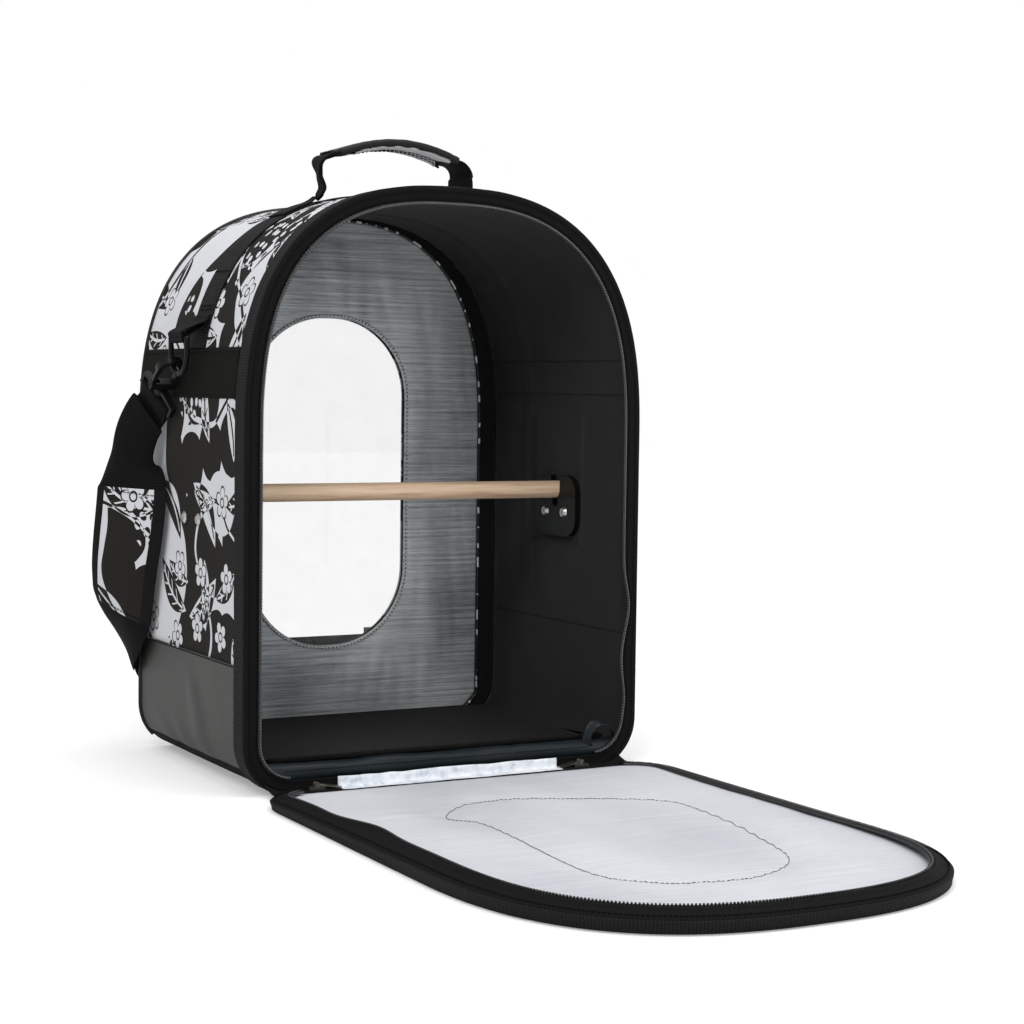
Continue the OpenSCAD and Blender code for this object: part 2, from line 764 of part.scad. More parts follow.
// The side wall of the door: a ribbed band, then the zip tape leaning in to the coil.
// It is soft cloth that sags where the open door lies on the floor
rim_straight = 7;
rim_full = door_back_y - door_front_y;
rim_band = cover_t + door_binding_w;
rim_spread = 3;
rim_base = concat(
  [for (i = [1:corner_steps]) corner(1, 0)[i]],
  [for (k = [1:rim_straight]) [body_w / 2, corner_r + (spring_z - corner_r) * k / (rim_straight + 1)]],
  [for (i = [0:arch_steps]) arch_point(180 * i / arch_steps, 0)],
  [for (k = [1:rim_straight]) [-body_w / 2, spring_z - (spring_z - corner_r) * k / (rim_straight + 1)]],
  [for (i = [0:corner_steps - 1]) corner(-1, 0)[i]]);
rim_away = concat(
  [for (i = [1:corner_steps]) let (a = -90 + 90 * i / corner_steps) [cos(a), sin(a)]],
  [for (k = [1:rim_straight]) [1, 0]],
  [for (i = [0:arch_steps]) arch_normal(180 * i / arch_steps)],
  [for (k = [1:rim_straight]) [-1, 0]],
  [for (i = [0:corner_steps - 1]) let (a = 180 + 90 * i / corner_steps) [cos(a), sin(a)]]);
rim_run = [for (i = 0, d = 0; i < len(rim_base);
  d = d + norm(rim_base[min(i + 1, len(rim_base) - 1)] - rim_base[i]), i = i + 1) d];
// Height of the rim at even steps from the right corner round the far end to the left
// corner, as shares of its full height
rim_share = [0.35, 0.35, 0.37, 0.40, 0.48, 0.54, 0.55, 0.62, 0.74, 0.82, 0.86, 0.62, 0.37];
function rim_height(i) = let (n = len(rim_share) - 1, v = n * rim_run[i] / rim_run[len(rim_run) - 1],
    k = min(floor(v), n - 1))
  rim_full * min(1, spline(rim_share[max(k - 1, 0)], rim_share[k], rim_share[k + 1],
                           rim_share[min(k + 2, n)], v - k));
function rim_lean(i) = rim_spread * (1 - rim_height(i) / rim_full);
function rim_band_top(i) = cover_t + door_binding_w * rim_height(i) / rim_full;
function rim_tape_in(i) = tape_w + 2 - rim_lean(i) * 2 / 3;

function rim_row(i, section) = [for (s = section)
  [rim_base[i][0] + rim_away[i][0] * s[0], door_front_y + s[1], rim_base[i][1] + rim_away[i][1] * s[0]]];
module door_rim(rows) {
  opened() tube(rows, false);
}
module door_binding() {
  color([0.13, 0.13, 0.13]) door_rim([for (i = [0:len(rim_base) - 1])
    let (out = rim_lean(i), top = rim_band_top(i))
    rim_row(i, [[0, cover_t], [out, top], [out - door_edge_in, top], [-door_edge_in, cover_t]])]);
}
module door_zip_tape() {
  color([0.09, 0.09, 0.09]) door_rim([for (i = [0:len(rim_base) - 1])
    let (out = rim_lean(i), top = rim_band_top(i), h = rim_height(i), in = rim_tape_in(i))
    rim_row(i, [[out, top], [-in, h], [-in, h - 1.6], [out - door_edge_in, top]])]);
}
module door_zip_coil() {
  color([0.16, 0.16, 0.16]) door_rim([for (i = [0:len(rim_base) - 1])
    let (h = rim_height(i), in = rim_tape_in(i))
    rim_row(i, [[-in, h], [-in - coil_w, h], [-in - coil_w, h - coil_h], [-in, h - coil_h]])]);
}

// Strap geometry: stops are joined by smooth curves through them
function spline(p0, p1, p2, p3, u) = 0.5 * (2 * p1 + (p2 - p0) * u
  + (2 * p0 - 5 * p1 + 4 * p2 - p3) * u * u + (3 * p1 - p0 - 3 * p2 + p3) * u * u * u);
function smooth(list) = let (n = len(list)) concat(
  [for (i = [0:n - 2]) for (k = [0:run_steps - 1])
    spline(list[max(i - 1, 0)], list[i], list[i + 1], list[min(i + 2, n - 1)], k / run_steps)],
  [list[n - 1]]);
strap_line = smooth([for (s = strap_stops) s[0]]);
strap_wide = smooth([for (s = strap_stops) s[1]]);
function unit(v) = v / norm(v);
function travel(i) = i == 0 ? strap_away : i == len(strap_line) - 1 ? [1, 0, 0]
  : unit(strap_line[i + 1] - strap_line[i - 1]);
// Width direction made square to the run, and the direction away from the cabin
function across(i) = let (t = travel(i), w = strap_wide[i]) unit(w - (w * t) * t);
function outward(i) = cross(across(i), travel(i));

function strap_rows(first, last, w0, w1, low, high) =
  [for (i = [first:last]) let (p = strap_line[i], a = across(i), n = outward(i),
      w = w0 + (w1 - w0) * (i - first) / max(last - first, 1))
    [p - a * w / 2 + n * low, p + a * w / 2 + n * low, p + a * w / 2 + n * high, p - a * w / 2 + n * high]];

module strap_side() {
  tube(strap_rows(0, len(strap_line) - 1, webbing_w, webbing_w, -webbing_t / 2, webbing_t / 2), false);
  r = eye_bar_d / 2 + 0.1;
  at_hook(-1) rotate([0, 0, eye_turn]) translate([0, 0, collar_r - eye_bar_r]) rotate([90, 0, 90])
    translate([0, 0, -webbing_w / 2]) linear_extrude(webbing_w) difference() {
      union() {
        circle(r + webbing_t, $fn = 32);
        polygon([[-r - webbing_t, 0], [-webbing_t / 2, -loop_tail], [webbing_t / 2, -loop_tail],
                 [r + webbing_t, 0]]);
      }
      circle(r, $fn = 32);
    }
}
module strap_left() { color([0.11, 0.11, 0.11]) strap_side(); }
module strap_right() { color([0.11, 0.11, 0.11]) mirror([1, 0, 0]) strap_side(); }
module strap_back() {
  color([0.11, 0.11, 0.11])
    translate([-back_run_x, back_run_y - webbing_t / 2, back_run_z - webbing_w / 2])
      cube([2 * back_run_x, webbing_t, webbing_w]);
}

// The pad lies on the outside of the left run: a neck, a broad middle and a narrow end
function ease(v) = let (c = min(max(v, 0), 1)) c * c * (3 - 2 * c);
pad_neck_t = 3.5;
module shoulder_pad() {
  n = pad_last - pad_first;
  rows = [for (i = [pad_first:pad_last]) let (
      p = strap_line[i], a = across(i), o = outward(i), u = (i - pad_first) / n,
      w = max(pad_w * (0.58 + 0.42 * ease((u - 0.21) / 0.18)) * (1 - 0.5 * ease((u - 0.75) / 0.25)),
              webbing_w + 2),
      t = pad_neck_t + (pad_t - pad_neck_t) * ease(u / 0.3) * (1 - ease((u - 0.75) / 0.25)),
      b = webbing_t / 2 + 0.1, k = max(w * 0.45, webbing_w / 2 + 0.5))
    [p - a * w * 0.5 + o * (b + 0.25 * t), p - a * k + o * b,
     p - a * webbing_w / 2 + o * b, p + a * webbing_w / 2 + o * b, p + a * k + o * b,
     p + a * w * 0.5 + o * (b + 0.25 * t), p + a * w * 0.47 + o * (b + 0.75 * t),
     p + a * w * 0.3 + o * (b + t), p - a * w * 0.3 + o * (b + t), p - a * w * 0.47 + o * (b + 0.75 * t)]];
  color([0.7, 0.7, 0.72]) tube(rows, false, true);
}

// Three-bar slide that the back run of webbing passes through
adjuster_x = 70;
module strap_adjuster() {
  outer_w = webbing_w + 12;
  bar_w = 6;
  gap = 0.5;
  depth = 3;
  y_in = webbing_t / 2 + gap;
  color([0.1, 0.1, 0.1]) translate([adjuster_x, back_run_y, back_run_z]) {
    for (x = [-1, 1]) translate([x * 13 - bar_w / 2, y_in, -outer_w / 2]) cube([bar_w, depth, outer_w]);
    translate([-bar_w / 2, -y_in - depth, -outer_w / 2]) cube([bar_w, depth, outer_w]);
    for (z = [-1, 1]) translate([-16, -y_in - depth, z * (webbing_w / 2 + 3.25) - 2.75])
      cube([32, 2 * (y_in + depth), 5.5]);
  }
}

// Frame of a hook: local Z points from the swivel to the tip, local X away from the cabin
module at_hook(side) {
  translate([side * hook_axis_x, webbing_y, bow_z]) rotate([hook_lean, 0, 0])
    translate([0, 0, -collar_r]) scale_x(side) children();
}

module hook_plate(t) {
  translate([0, t / 2, 0]) rotate([90, 0, 0]) linear_extrude(t) children();
}

// Hook body: a base with two cheeks, a leg on the inner side, the bend and the nose
module snap_hook(side) {
  bend_u = hook_l - hook_out;
  nose_u = bend_u - 4;
  base_h = 8;
  color([0.1, 0.1, 0.1]) at_hook(side) {
    difference() {
      hook_plate(hook_t) difference() {
        union() {
          translate([-hook_out, 0]) square([2 * hook_out, base_h]);
          translate([-hook_out, 0]) square([hook_bar, bend_u]);
          translate([0, bend_u]) circle(hook_out, $fn = 64);
          translate([hook_half, nose_u]) square([hook_bar, hook_out / 2]);
        }
        translate([0, bend_u]) circle(hook_half, $fn = 64);
        translate([-hook_half, base_h]) square([hook_gap, bend_u - base_h]);
        translate([hook_half - 0.01, base_h]) square([hook_bar + 1, nose_u - base_h]);
      }
      translate([hook_half - 3, -2, 1.5]) cube([hook_bar + 4, 4, base_h]);
    }
    translate([hook_half + hook_bar / 2, 0, gate_pivot_u]) rotate([90, 0, 0])
      cylinder(h = hook_t, r = gate_pin_r, center = true, $fn = 24);
    translate([0, 0, -8.5]) cylinder(h = 8.5, r = 2.4, $fn = 32);
    translate([0, 0, -8.5]) cylinder(h = 2.5, r = 4, $fn = 32);
    translate([0, 0, -0.8]) cylinder(h = 0.8, r = 5, $fn = 32);
  }
}
module snap_hook_left() { snap_hook(-1); }
module snap_hook_right() { snap_hook(1); }

// Sprung gate that closes the hook between its base and nose
module hook_gate(side) {
  gate_t = 3.4;
  gate_w = 3.6;
  reach = hook_l - hook_out - 4 - gate_pivot_u - 0.4;
  color([0.12, 0.12, 0.12]) at_hook(side)
    translate([hook_half + hook_bar / 2, 0, gate_pivot_u]) hook_plate(gate_t) difference() {
      union() {
        circle(2.4, $fn = 32);
        translate([-gate_w / 2, 0]) square([gate_w, reach]);
      }
      circle(gate_pin_r + gate_bore_gap, $fn = 32);
    }
}
module hook_gate_left() { hook_gate(-1); }
module hook_gate_right() { hook_gate(1); }

// Swivel eye: a top plate that the hook's stud turns in, two arms and the strap's bar
module swivel_eye(side) {
  half = eye_inner / 2 + 3;
  top = 4;
  bar_z = collar_r - eye_bar_r;
  color([0.1, 0.1, 0.1]) at_hook(side) rotate([0, 0, eye_turn]) {
    difference() {
      union() {
        hook_plate(6) difference() {
          polygon([[-7, -1], [-half, -5], [-half, bar_z - 3], [half, bar_z - 3], [half, -5], [7, -1]]);
          polygon([[-eye_inner / 2, bar_z - 4], [-eye_inner / 2, -7], [-6, -1 - top],
                   [6, -1 - top], [eye_inner / 2, -7], [eye_inner / 2, bar_z - 4]]);
        }
        translate([0, 0, -1 - top]) cylinder(h = top, r = 5.5, $fn = 40);
      }
      translate([0, 0, -9]) cylinder(h = 9, r = 2.48, $fn = 32);
    }
    translate([-eye_inner / 2 - 1, 0, bar_z]) rotate([0, 90, 0])
      cylinder(h = eye_inner + 2, d = eye_bar_d, $fn = 32);
  }
}
module swivel_eye_left() { swivel_eye(-1); }
module swivel_eye_right() { swivel_eye(1); }

print_cover();
vinyl_boot();
wall_board();
base_tray();
wall_lining();
front_binding();
body_zip_tape();
body_zip_coil();
rear_piping();
back_cover();
back_boot();
back_board();
back_lining();
back_seam_binding();
window_film();
window_binding();
side_band_left();
side_band_right();
top_webbing();
ring_tab_left();
ring_tab_right();
d_ring_left();
d_ring_right();
handle_webbing();
handle_grip();
floor_liner();
floor_mat();
pull_loop();
perch();
perch_bracket_left();
perch_bracket_right();
perch_screws();
perch_nuts();
fold_strip();
fold_flaps();
zip_sliders();
pull_tab_left();
pull_tab_right();
door_cover();
door_board();
door_lining();
door_binding();
door_zip_tape();
door_zip_coil();
strap_left();
strap_back();
strap_right();
shoulder_pad();
strap_adjuster();
swivel_eye_left();
swivel_eye_right();
snap_hook_left();
snap_hook_right();
hook_gate_left();
hook_gate_right();
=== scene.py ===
import math

import bmesh
import bpy
from mathutils import Matrix, Vector, noise


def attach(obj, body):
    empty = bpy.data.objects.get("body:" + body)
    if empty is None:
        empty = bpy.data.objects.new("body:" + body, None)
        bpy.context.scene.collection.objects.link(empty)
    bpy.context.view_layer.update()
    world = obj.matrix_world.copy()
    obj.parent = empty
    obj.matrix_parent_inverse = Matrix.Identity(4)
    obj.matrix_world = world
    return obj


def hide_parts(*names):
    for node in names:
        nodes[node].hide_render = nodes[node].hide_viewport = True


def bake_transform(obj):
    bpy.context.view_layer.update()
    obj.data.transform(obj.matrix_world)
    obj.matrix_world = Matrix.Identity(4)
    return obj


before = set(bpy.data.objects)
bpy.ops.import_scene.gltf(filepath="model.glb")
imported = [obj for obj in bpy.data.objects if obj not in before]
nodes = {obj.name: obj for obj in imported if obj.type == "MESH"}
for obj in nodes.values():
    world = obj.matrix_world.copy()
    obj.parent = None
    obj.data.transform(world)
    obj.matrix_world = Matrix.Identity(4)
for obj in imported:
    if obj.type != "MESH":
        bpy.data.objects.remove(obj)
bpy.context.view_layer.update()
print("frame loaded:", len(nodes), "nodes")

# main sizes of the carrier, in metres, as in the part's source
body = {
    "half": 0.185, "height": 0.5, "frontY": -0.132, "backY": 0.132, "springZ": 0.29,
    "power": 2.6, "cornerR": 0.042, "seamZ": 0.108, "tapeBackY": -0.1308, "bindingEnd": -0.1078,
    "webbing": 0.038, "webbingT": 0.0015, "webbingY": -0.006,
    "bandT": 0.0014,  # thickness at which most webbing is modelled
}

# camera
camera = {
    "place": (-0.792, -1.673, 0.332), "yaw": 28.87, "pitch": 3.39, "roll": 0.76,
    "sensor": 36, "lens": 2054.1 / 1024 * 36,  # from its length in pixels of a picture 1024 wide
}


def addCamera():
    yaw, pitch, roll = (math.radians(camera[k]) for k in ("yaw", "pitch", "roll"))
    ahead = Vector((math.sin(yaw) * math.cos(pitch), math.cos(yaw) * math.cos(pitch), -math.sin(pitch)))
    right = Vector((math.cos(yaw), -math.sin(yaw), 0))
    up = right.cross(ahead)
    level = right * math.cos(roll) + up * math.sin(roll)
    upright = up * math.cos(roll) - right * math.sin(roll)
    data = bpy.data.cameras.new("viewCamera")
    data.sensor_width = camera["sensor"]
    data.lens = camera["lens"]
    data.clip_end = 50
    cam = bpy.data.objects.new("viewCamera", data)
    turn = Matrix((level, upright, -ahead)).transposed()
    cam.matrix_world = Matrix.Translation(Vector(camera["place"])) @ turn.to_4x4()
    bpy.context.scene.collection.objects.link(cam)
    bpy.context.scene.camera = cam


addCamera()


# shader helpers
class Wire:
    # a node's output that can stand in Python sums
    def __init__(self, net, socket):
        self.net, self.socket = net, socket

    def sum(self, kind, other=0.0, swap=False):
        first, second = (other, self) if swap else (self, other)
        return self.net.add("ShaderNodeMath", {"operation": kind}, {0: first, 1: second})

    def also(self, name):
        # another output of the same node
        return Wire(self.net, self.socket.node.outputs[name])

    def __add__(self, o): return self.sum("ADD", o)
    def __radd__(self, o): return self.sum("ADD", o, True)
    def __sub__(self, o): return self.sum("SUBTRACT", o)
    def __rsub__(self, o): return self.sum("SUBTRACT", o, True)
    def __mul__(self, o): return self.sum("MULTIPLY", o)
    def __rmul__(self, o): return self.sum("MULTIPLY", o, True)
    def __truediv__(self, o): return self.sum("DIVIDE", o)
    def __rtruediv__(self, o): return self.sum("DIVIDE", o, True)
    def __pow__(self, o): return self.sum("POWER", o)
    def __rpow__(self, o): return self.sum("POWER", o, True)
    def __gt__(self, o): return self.sum("GREATER_THAN", o)
    def __lt__(self, o): return self.sum("LESS_THAN", o)
    def __abs__(self): return self.sum("ABSOLUTE")


class Net:
    # the nodes of a material or of the world
    def __init__(self, owner):
        owner.use_nodes = True
        self.tree = owner.node_tree
        self.tree.nodes.clear()

    def put(self, socket, value):
        if isinstance(value, Wire):
            self.tree.links.new(value.socket, socket)
        elif hasattr(socket.default_value, "__len__"):
            size = len(socket.default_value)
            given = list(value) if hasattr(value, "__len__") else [value] * size
            socket.default_value = given + [1] * (size - len(given))
        else:
            socket.default_value = value

    def add(self, kind, settings=None, inputs=None, out=0):
        node = self.tree.nodes.new(kind)
        for key, value in (settings or {}).items():
            if key == "stops":
                ramp = node.color_ramp
                while len(ramp.elements) < len(value):
                    ramp.elements.new(0.5)
                for stop, (place, shade) in zip(ramp.elements, value):
                    stop.position = place
                    stop.color = tuple(shade) + (1,)
            else:
                setattr(node, key, value)
        for key, value in (inputs or {}).items():
            self.put(node.inputs[key], value)
        return Wire(self, node.outputs[out]) if node.outputs else node


class Finish(Net):
    # a material with one main shader
    def __init__(self, name, color, rough, **sockets):
        self.mat = bpy.data.materials.new(name)
        super().__init__(self.mat)
        self.shader = self.add("ShaderNodeBsdfPrincipled")
        self.output = self.add("ShaderNodeOutputMaterial", None, {"Surface": self.shader})
        self.give("Base Color", color)
        self.give("Roughness", rough)
        for key, value in sockets.items():
            self.give(key.replace("_", " "), value)
        self.mat.diffuse_color = tuple(color) + (1,)

    def give(self, name, value):
        self.put(self.shader.socket.node.inputs[name], value)

    def uv(self, shift=None):
        flat = self.add("ShaderNodeUVMap", {"uv_map": "cloth"})
        return self.vector("ADD", flat, shift) if shift else flat

    def vector(self, kind, a, b=(0, 0, 0)):
        return self.add("ShaderNodeVectorMath", {"operation": kind}, {0: a, 1: b})

    def place(self):
        return self.add("ShaderNodeTexCoord", out="Object")

    def axis(self, vector, which):
        return self.add("ShaderNodeSeparateXYZ", None, {0: vector}, out=which)

    def noise(self, vector, scale, detail=2.0, rough=0.5):
        return self.add("ShaderNodeTexNoise", None,
                        {"Vector": vector, "Scale": scale, "Detail": detail, "Roughness": rough})

    def cells(self, vector, scale, spread, out=0):
        # flat cells: the distance to the middle of each, or another of their outputs
        return self.add("ShaderNodeTexVoronoi", {"voronoi_dimensions": "2D"},
                        {"Vector": vector, "Scale": scale, "Randomness": spread}, out)

    def pebbles(self, vector, scale):
        return self.add("ShaderNodeTexVoronoi", None, {"Vector": vector, "Scale": scale})

    def turned(self, vector, angle):
        return self.add("ShaderNodeVectorRotate", {"rotation_type": "Z_AXIS"}, {"Vector": vector, "Angle": angle})

    def stretch(self, vector, size):
        return self.vector("MULTIPLY", vector, size)

    def ridges(self, value, pitch):
        # rounded ridges across a direction, 0 to 1
        return (value * (2 * math.pi / pitch)).sum("SINE") * 0.5 + 0.5

    def mix(self, factor, a, b):
        return self.add("ShaderNodeMix", {"data_type": "RGBA"}, {0: factor, 6: a, 7: b}, out=2)

    def ramp(self, value, stops):
        return self.add("ShaderNodeValToRGB", {"stops": stops}, {0: value})

    def bump(self, height, strength, distance=0.001):
        self.give("Normal", self.add("ShaderNodeBump", None,
                                     {"Height": height, "Strength": strength, "Distance": distance}))

    def motif(self, flat, scale, seed, spread=0.35):
        # distances along and across a motif that stands at a random turn in each cell, and that cell's chance
        moved = self.vector("ADD", flat, (seed, seed * 0.7, 0))
        cell = self.cells(moved, scale, spread, "Color")
        chance = self.axis(cell, "X")
        local = self.vector("SUBTRACT", moved, cell.also("Position"))
        turned = self.turned(local, chance * 6.283)
        return self.axis(turned, "X"), self.axis(turned, "Y"), chance


tones = {
    "ink": (0.0165, 0.0150, 0.0132), "pale": (0.63, 0.64, 0.67), "black": (0.006, 0.006, 0.0062),
    "vinyl": (0.033, 0.032, 0.030), "thread": (0.005, 0.005, 0.005),
}


def shaded(color, share, lift=0.0):
    return tuple(min(1, c * share + lift) for c in color)


def printFinish(name, shift):
    # garden print of the part's own: dark rounded masses, turned leaves, open flowers, berries and stems
    f = Finish(name, tones["pale"], 0.75, Specular_IOR_Level=0.1)
    flat = f.uv(shift)
    drift = f.add("ShaderNodeTexNoise", None, {"Vector": flat, "Scale": 24, "Detail": 0.5}, out="Color")
    bent = f.vector("ADD", flat, f.vector("MULTIPLY", drift, (0.012, 0.012, 0)))
    mass = f.cells(bent, 21, 0.9)
    field = f.noise(f.vector("ADD", bent, (0, 0, 0.028)), 9.5, 0.0)
    tone = 1 - (mass < 0.58) * (field > 0.475)
    for scale, seed, length, wide, share in ((10.5, 3.1, 0.037, 0.0125, 0.85), (14.5, 7.7, 0.026, 0.0085, 0.75)):
        u, v, chance = f.motif(flat, scale, seed)
        bend = v + u * u * 7
        end = 1 - (u / length) * (u / length)
        leaf = (abs(bend) < end * wide) * (chance < share)
        rib = (abs(bend) < 0.0008 + end * 0.0006) * (abs(u) < length * 0.82)
        lines = f.ridges(abs(bend) * 1.2 + u, 0.0135) > 0.93
        side = lines * (abs(bend) < end * wide * 0.72) * (chance < share * 0.45)
        veins = rib + side - rib * side
        tone = abs(tone - leaf * (1 - veins))
    u, v, chance = f.motif(flat, 17.5, 12.3, 0.4)
    reach = (u * u + v * v).sum("SQRT")
    petals = (abs((v.sum("ARCTAN2", u) * 2.5).sum("COSINE")) ** 0.5 * 0.6 + 0.4) * 0.0145
    bloom = (reach < petals) * (chance > 0.5)
    inside = (reach < petals - 0.0017) * (reach > 0.0046)
    heart = reach < 0.0030
    tone = tone * (1 - bloom) + bloom * (inside + heart)
    u, v, chance = f.motif(flat, 78, 5.9, 0.6)
    berry = ((u * u + v * v * 0.6) < 0.0031 ** 2) * (f.noise(flat, 13, 0.0) > 0.68)
    tone = abs(tone - berry * (1 - bloom))
    stem = (abs(f.noise(bent, 7, 0.0) - 0.5) < 0.0085) * (1 - bloom)
    tone = abs(tone - stem)
    warp, weft = f.ridges(f.axis(flat, "X"), 0.0007), f.ridges(f.axis(flat, "Y"), 0.0007)
    cloud = f.noise(flat, 26, 4)
    ink = f.mix(cloud, shaded(tones["ink"], 0.75), shaded(tones["ink"], 1.3))
    pale = f.mix(cloud, shaded(tones["pale"], 0.93), shaded(tones["pale"], 1.06))
    f.give("Base Color", f.mix(tone, ink, pale))
    f.give("Roughness", 0.66 + cloud * 0.2)
    f.bump(warp * weft * 0.5 + cloud, 0.22, 0.0005)
    return f


def weaveFinish(name, color, rough=0.85, pitch=0.0007, strength=0.35, toneAndPaintedShade=0.15, sheen=0.0, shine=0.08):
    # plain woven cloth in the piece's own flat coordinates
    f = Finish(name, color, rough, Sheen_Weight=sheen, Sheen_Roughness=0.5, Specular_IOR_Level=shine)
    flat = f.uv()
    weft, warp = f.ridges(f.axis(flat, "X"), pitch), f.ridges(f.axis(flat, "Y"), pitch)
    cloud = f.noise(flat, 18, 3)
    f.give("Base Color", f.mix(cloud * (weft * 0.5 + 0.5) + toneAndPaintedShade, shaded(color, 0.8), shaded(color, 1.4, 0.001)))
    f.give("Roughness", rough - 0.1 + cloud * 0.15)
    f.bump(weft * warp + cloud * 0.6, strength, 0.0004)
    return f


def webFinish(name, color, pitch=0.0016, strength=0.8, rough=0.7, slope=0.6, shine=0.09):
    # heavy webbing with ribs across its length and a fine twill on the ribs
    f = Finish(name, color, rough, Specular_IOR_Level=shine)
    flat = f.uv()
    u, v = f.axis(flat, "X"), f.axis(flat, "Y")
    ribs = f.ridges(u, pitch)
    twill = f.ridges(v + u * slope, pitch * 0.8)
    cloud = f.noise(flat, 30, 3)
    f.give("Base Color", f.mix(ribs * twill * 0.6 + cloud * 0.2, shaded(color, 0.35), shaded(color, 2.3)))
    f.give("Roughness", rough - 0.12 + cloud * 0.2)
    f.bump(ribs * 0.8 + twill * 0.4, strength, 0.0006)
    return f


def moulded(name, color, rough=0.4, grain=0.15, scale=900, shine=0.28):
    f = Finish(name, color, rough, Specular_IOR_Level=shine)
    fine = f.noise(f.place(), scale, 3)
    wear = f.noise(f.place(), 40, 4)
    f.give("Base Color", f.mix(wear, shaded(color, 0.8), shaded(color, 1.3, 0.002)))
    f.give("Roughness", rough - 0.08 + wear * 0.18)
    f.bump(fine, grain, 0.0003)
    return f


def silverFinish(name, dark, light, rough, slub=0.9, metal=0.15, sheenCloudScale=7, drift=0.8):
    # metallised cloth: long level slubs over a fine weave, with broad clouds of painted sheen and shade over them
    f = Finish(name, light, rough, Metallic=metal, Specular_IOR_Level=0.4)
    flat = f.uv()
    slubs = f.noise(f.stretch(flat, (7, 380, 1)), 1.0, 5, 0.65)
    fine = f.noise(f.stretch(flat, (70, 1300, 1)), 1.0, 2)
    warp = f.noise(f.stretch(flat, (900, 60, 1)), 1.0, 2)
    # painted sheen and shade: broad lighter and darker clouds, as strong as drift
    cloud = f.noise(f.stretch(flat, (1, 0.6, 1)), sheenCloudScale, 2, 0.4)
    blend = (slubs - 0.5) * slub + (fine - 0.5) * 0.6 + (warp - 0.5) * 0.15 + (cloud - 0.5) * drift + 0.5
    f.give("Base Color", f.mix(blend, dark, light))
    f.give("Roughness", rough - 0.1 + fine * 0.2)
    f.bump(slubs * 0.5 + fine * 0.5 + warp * 0.3, 0.25, 0.0004)
    return f


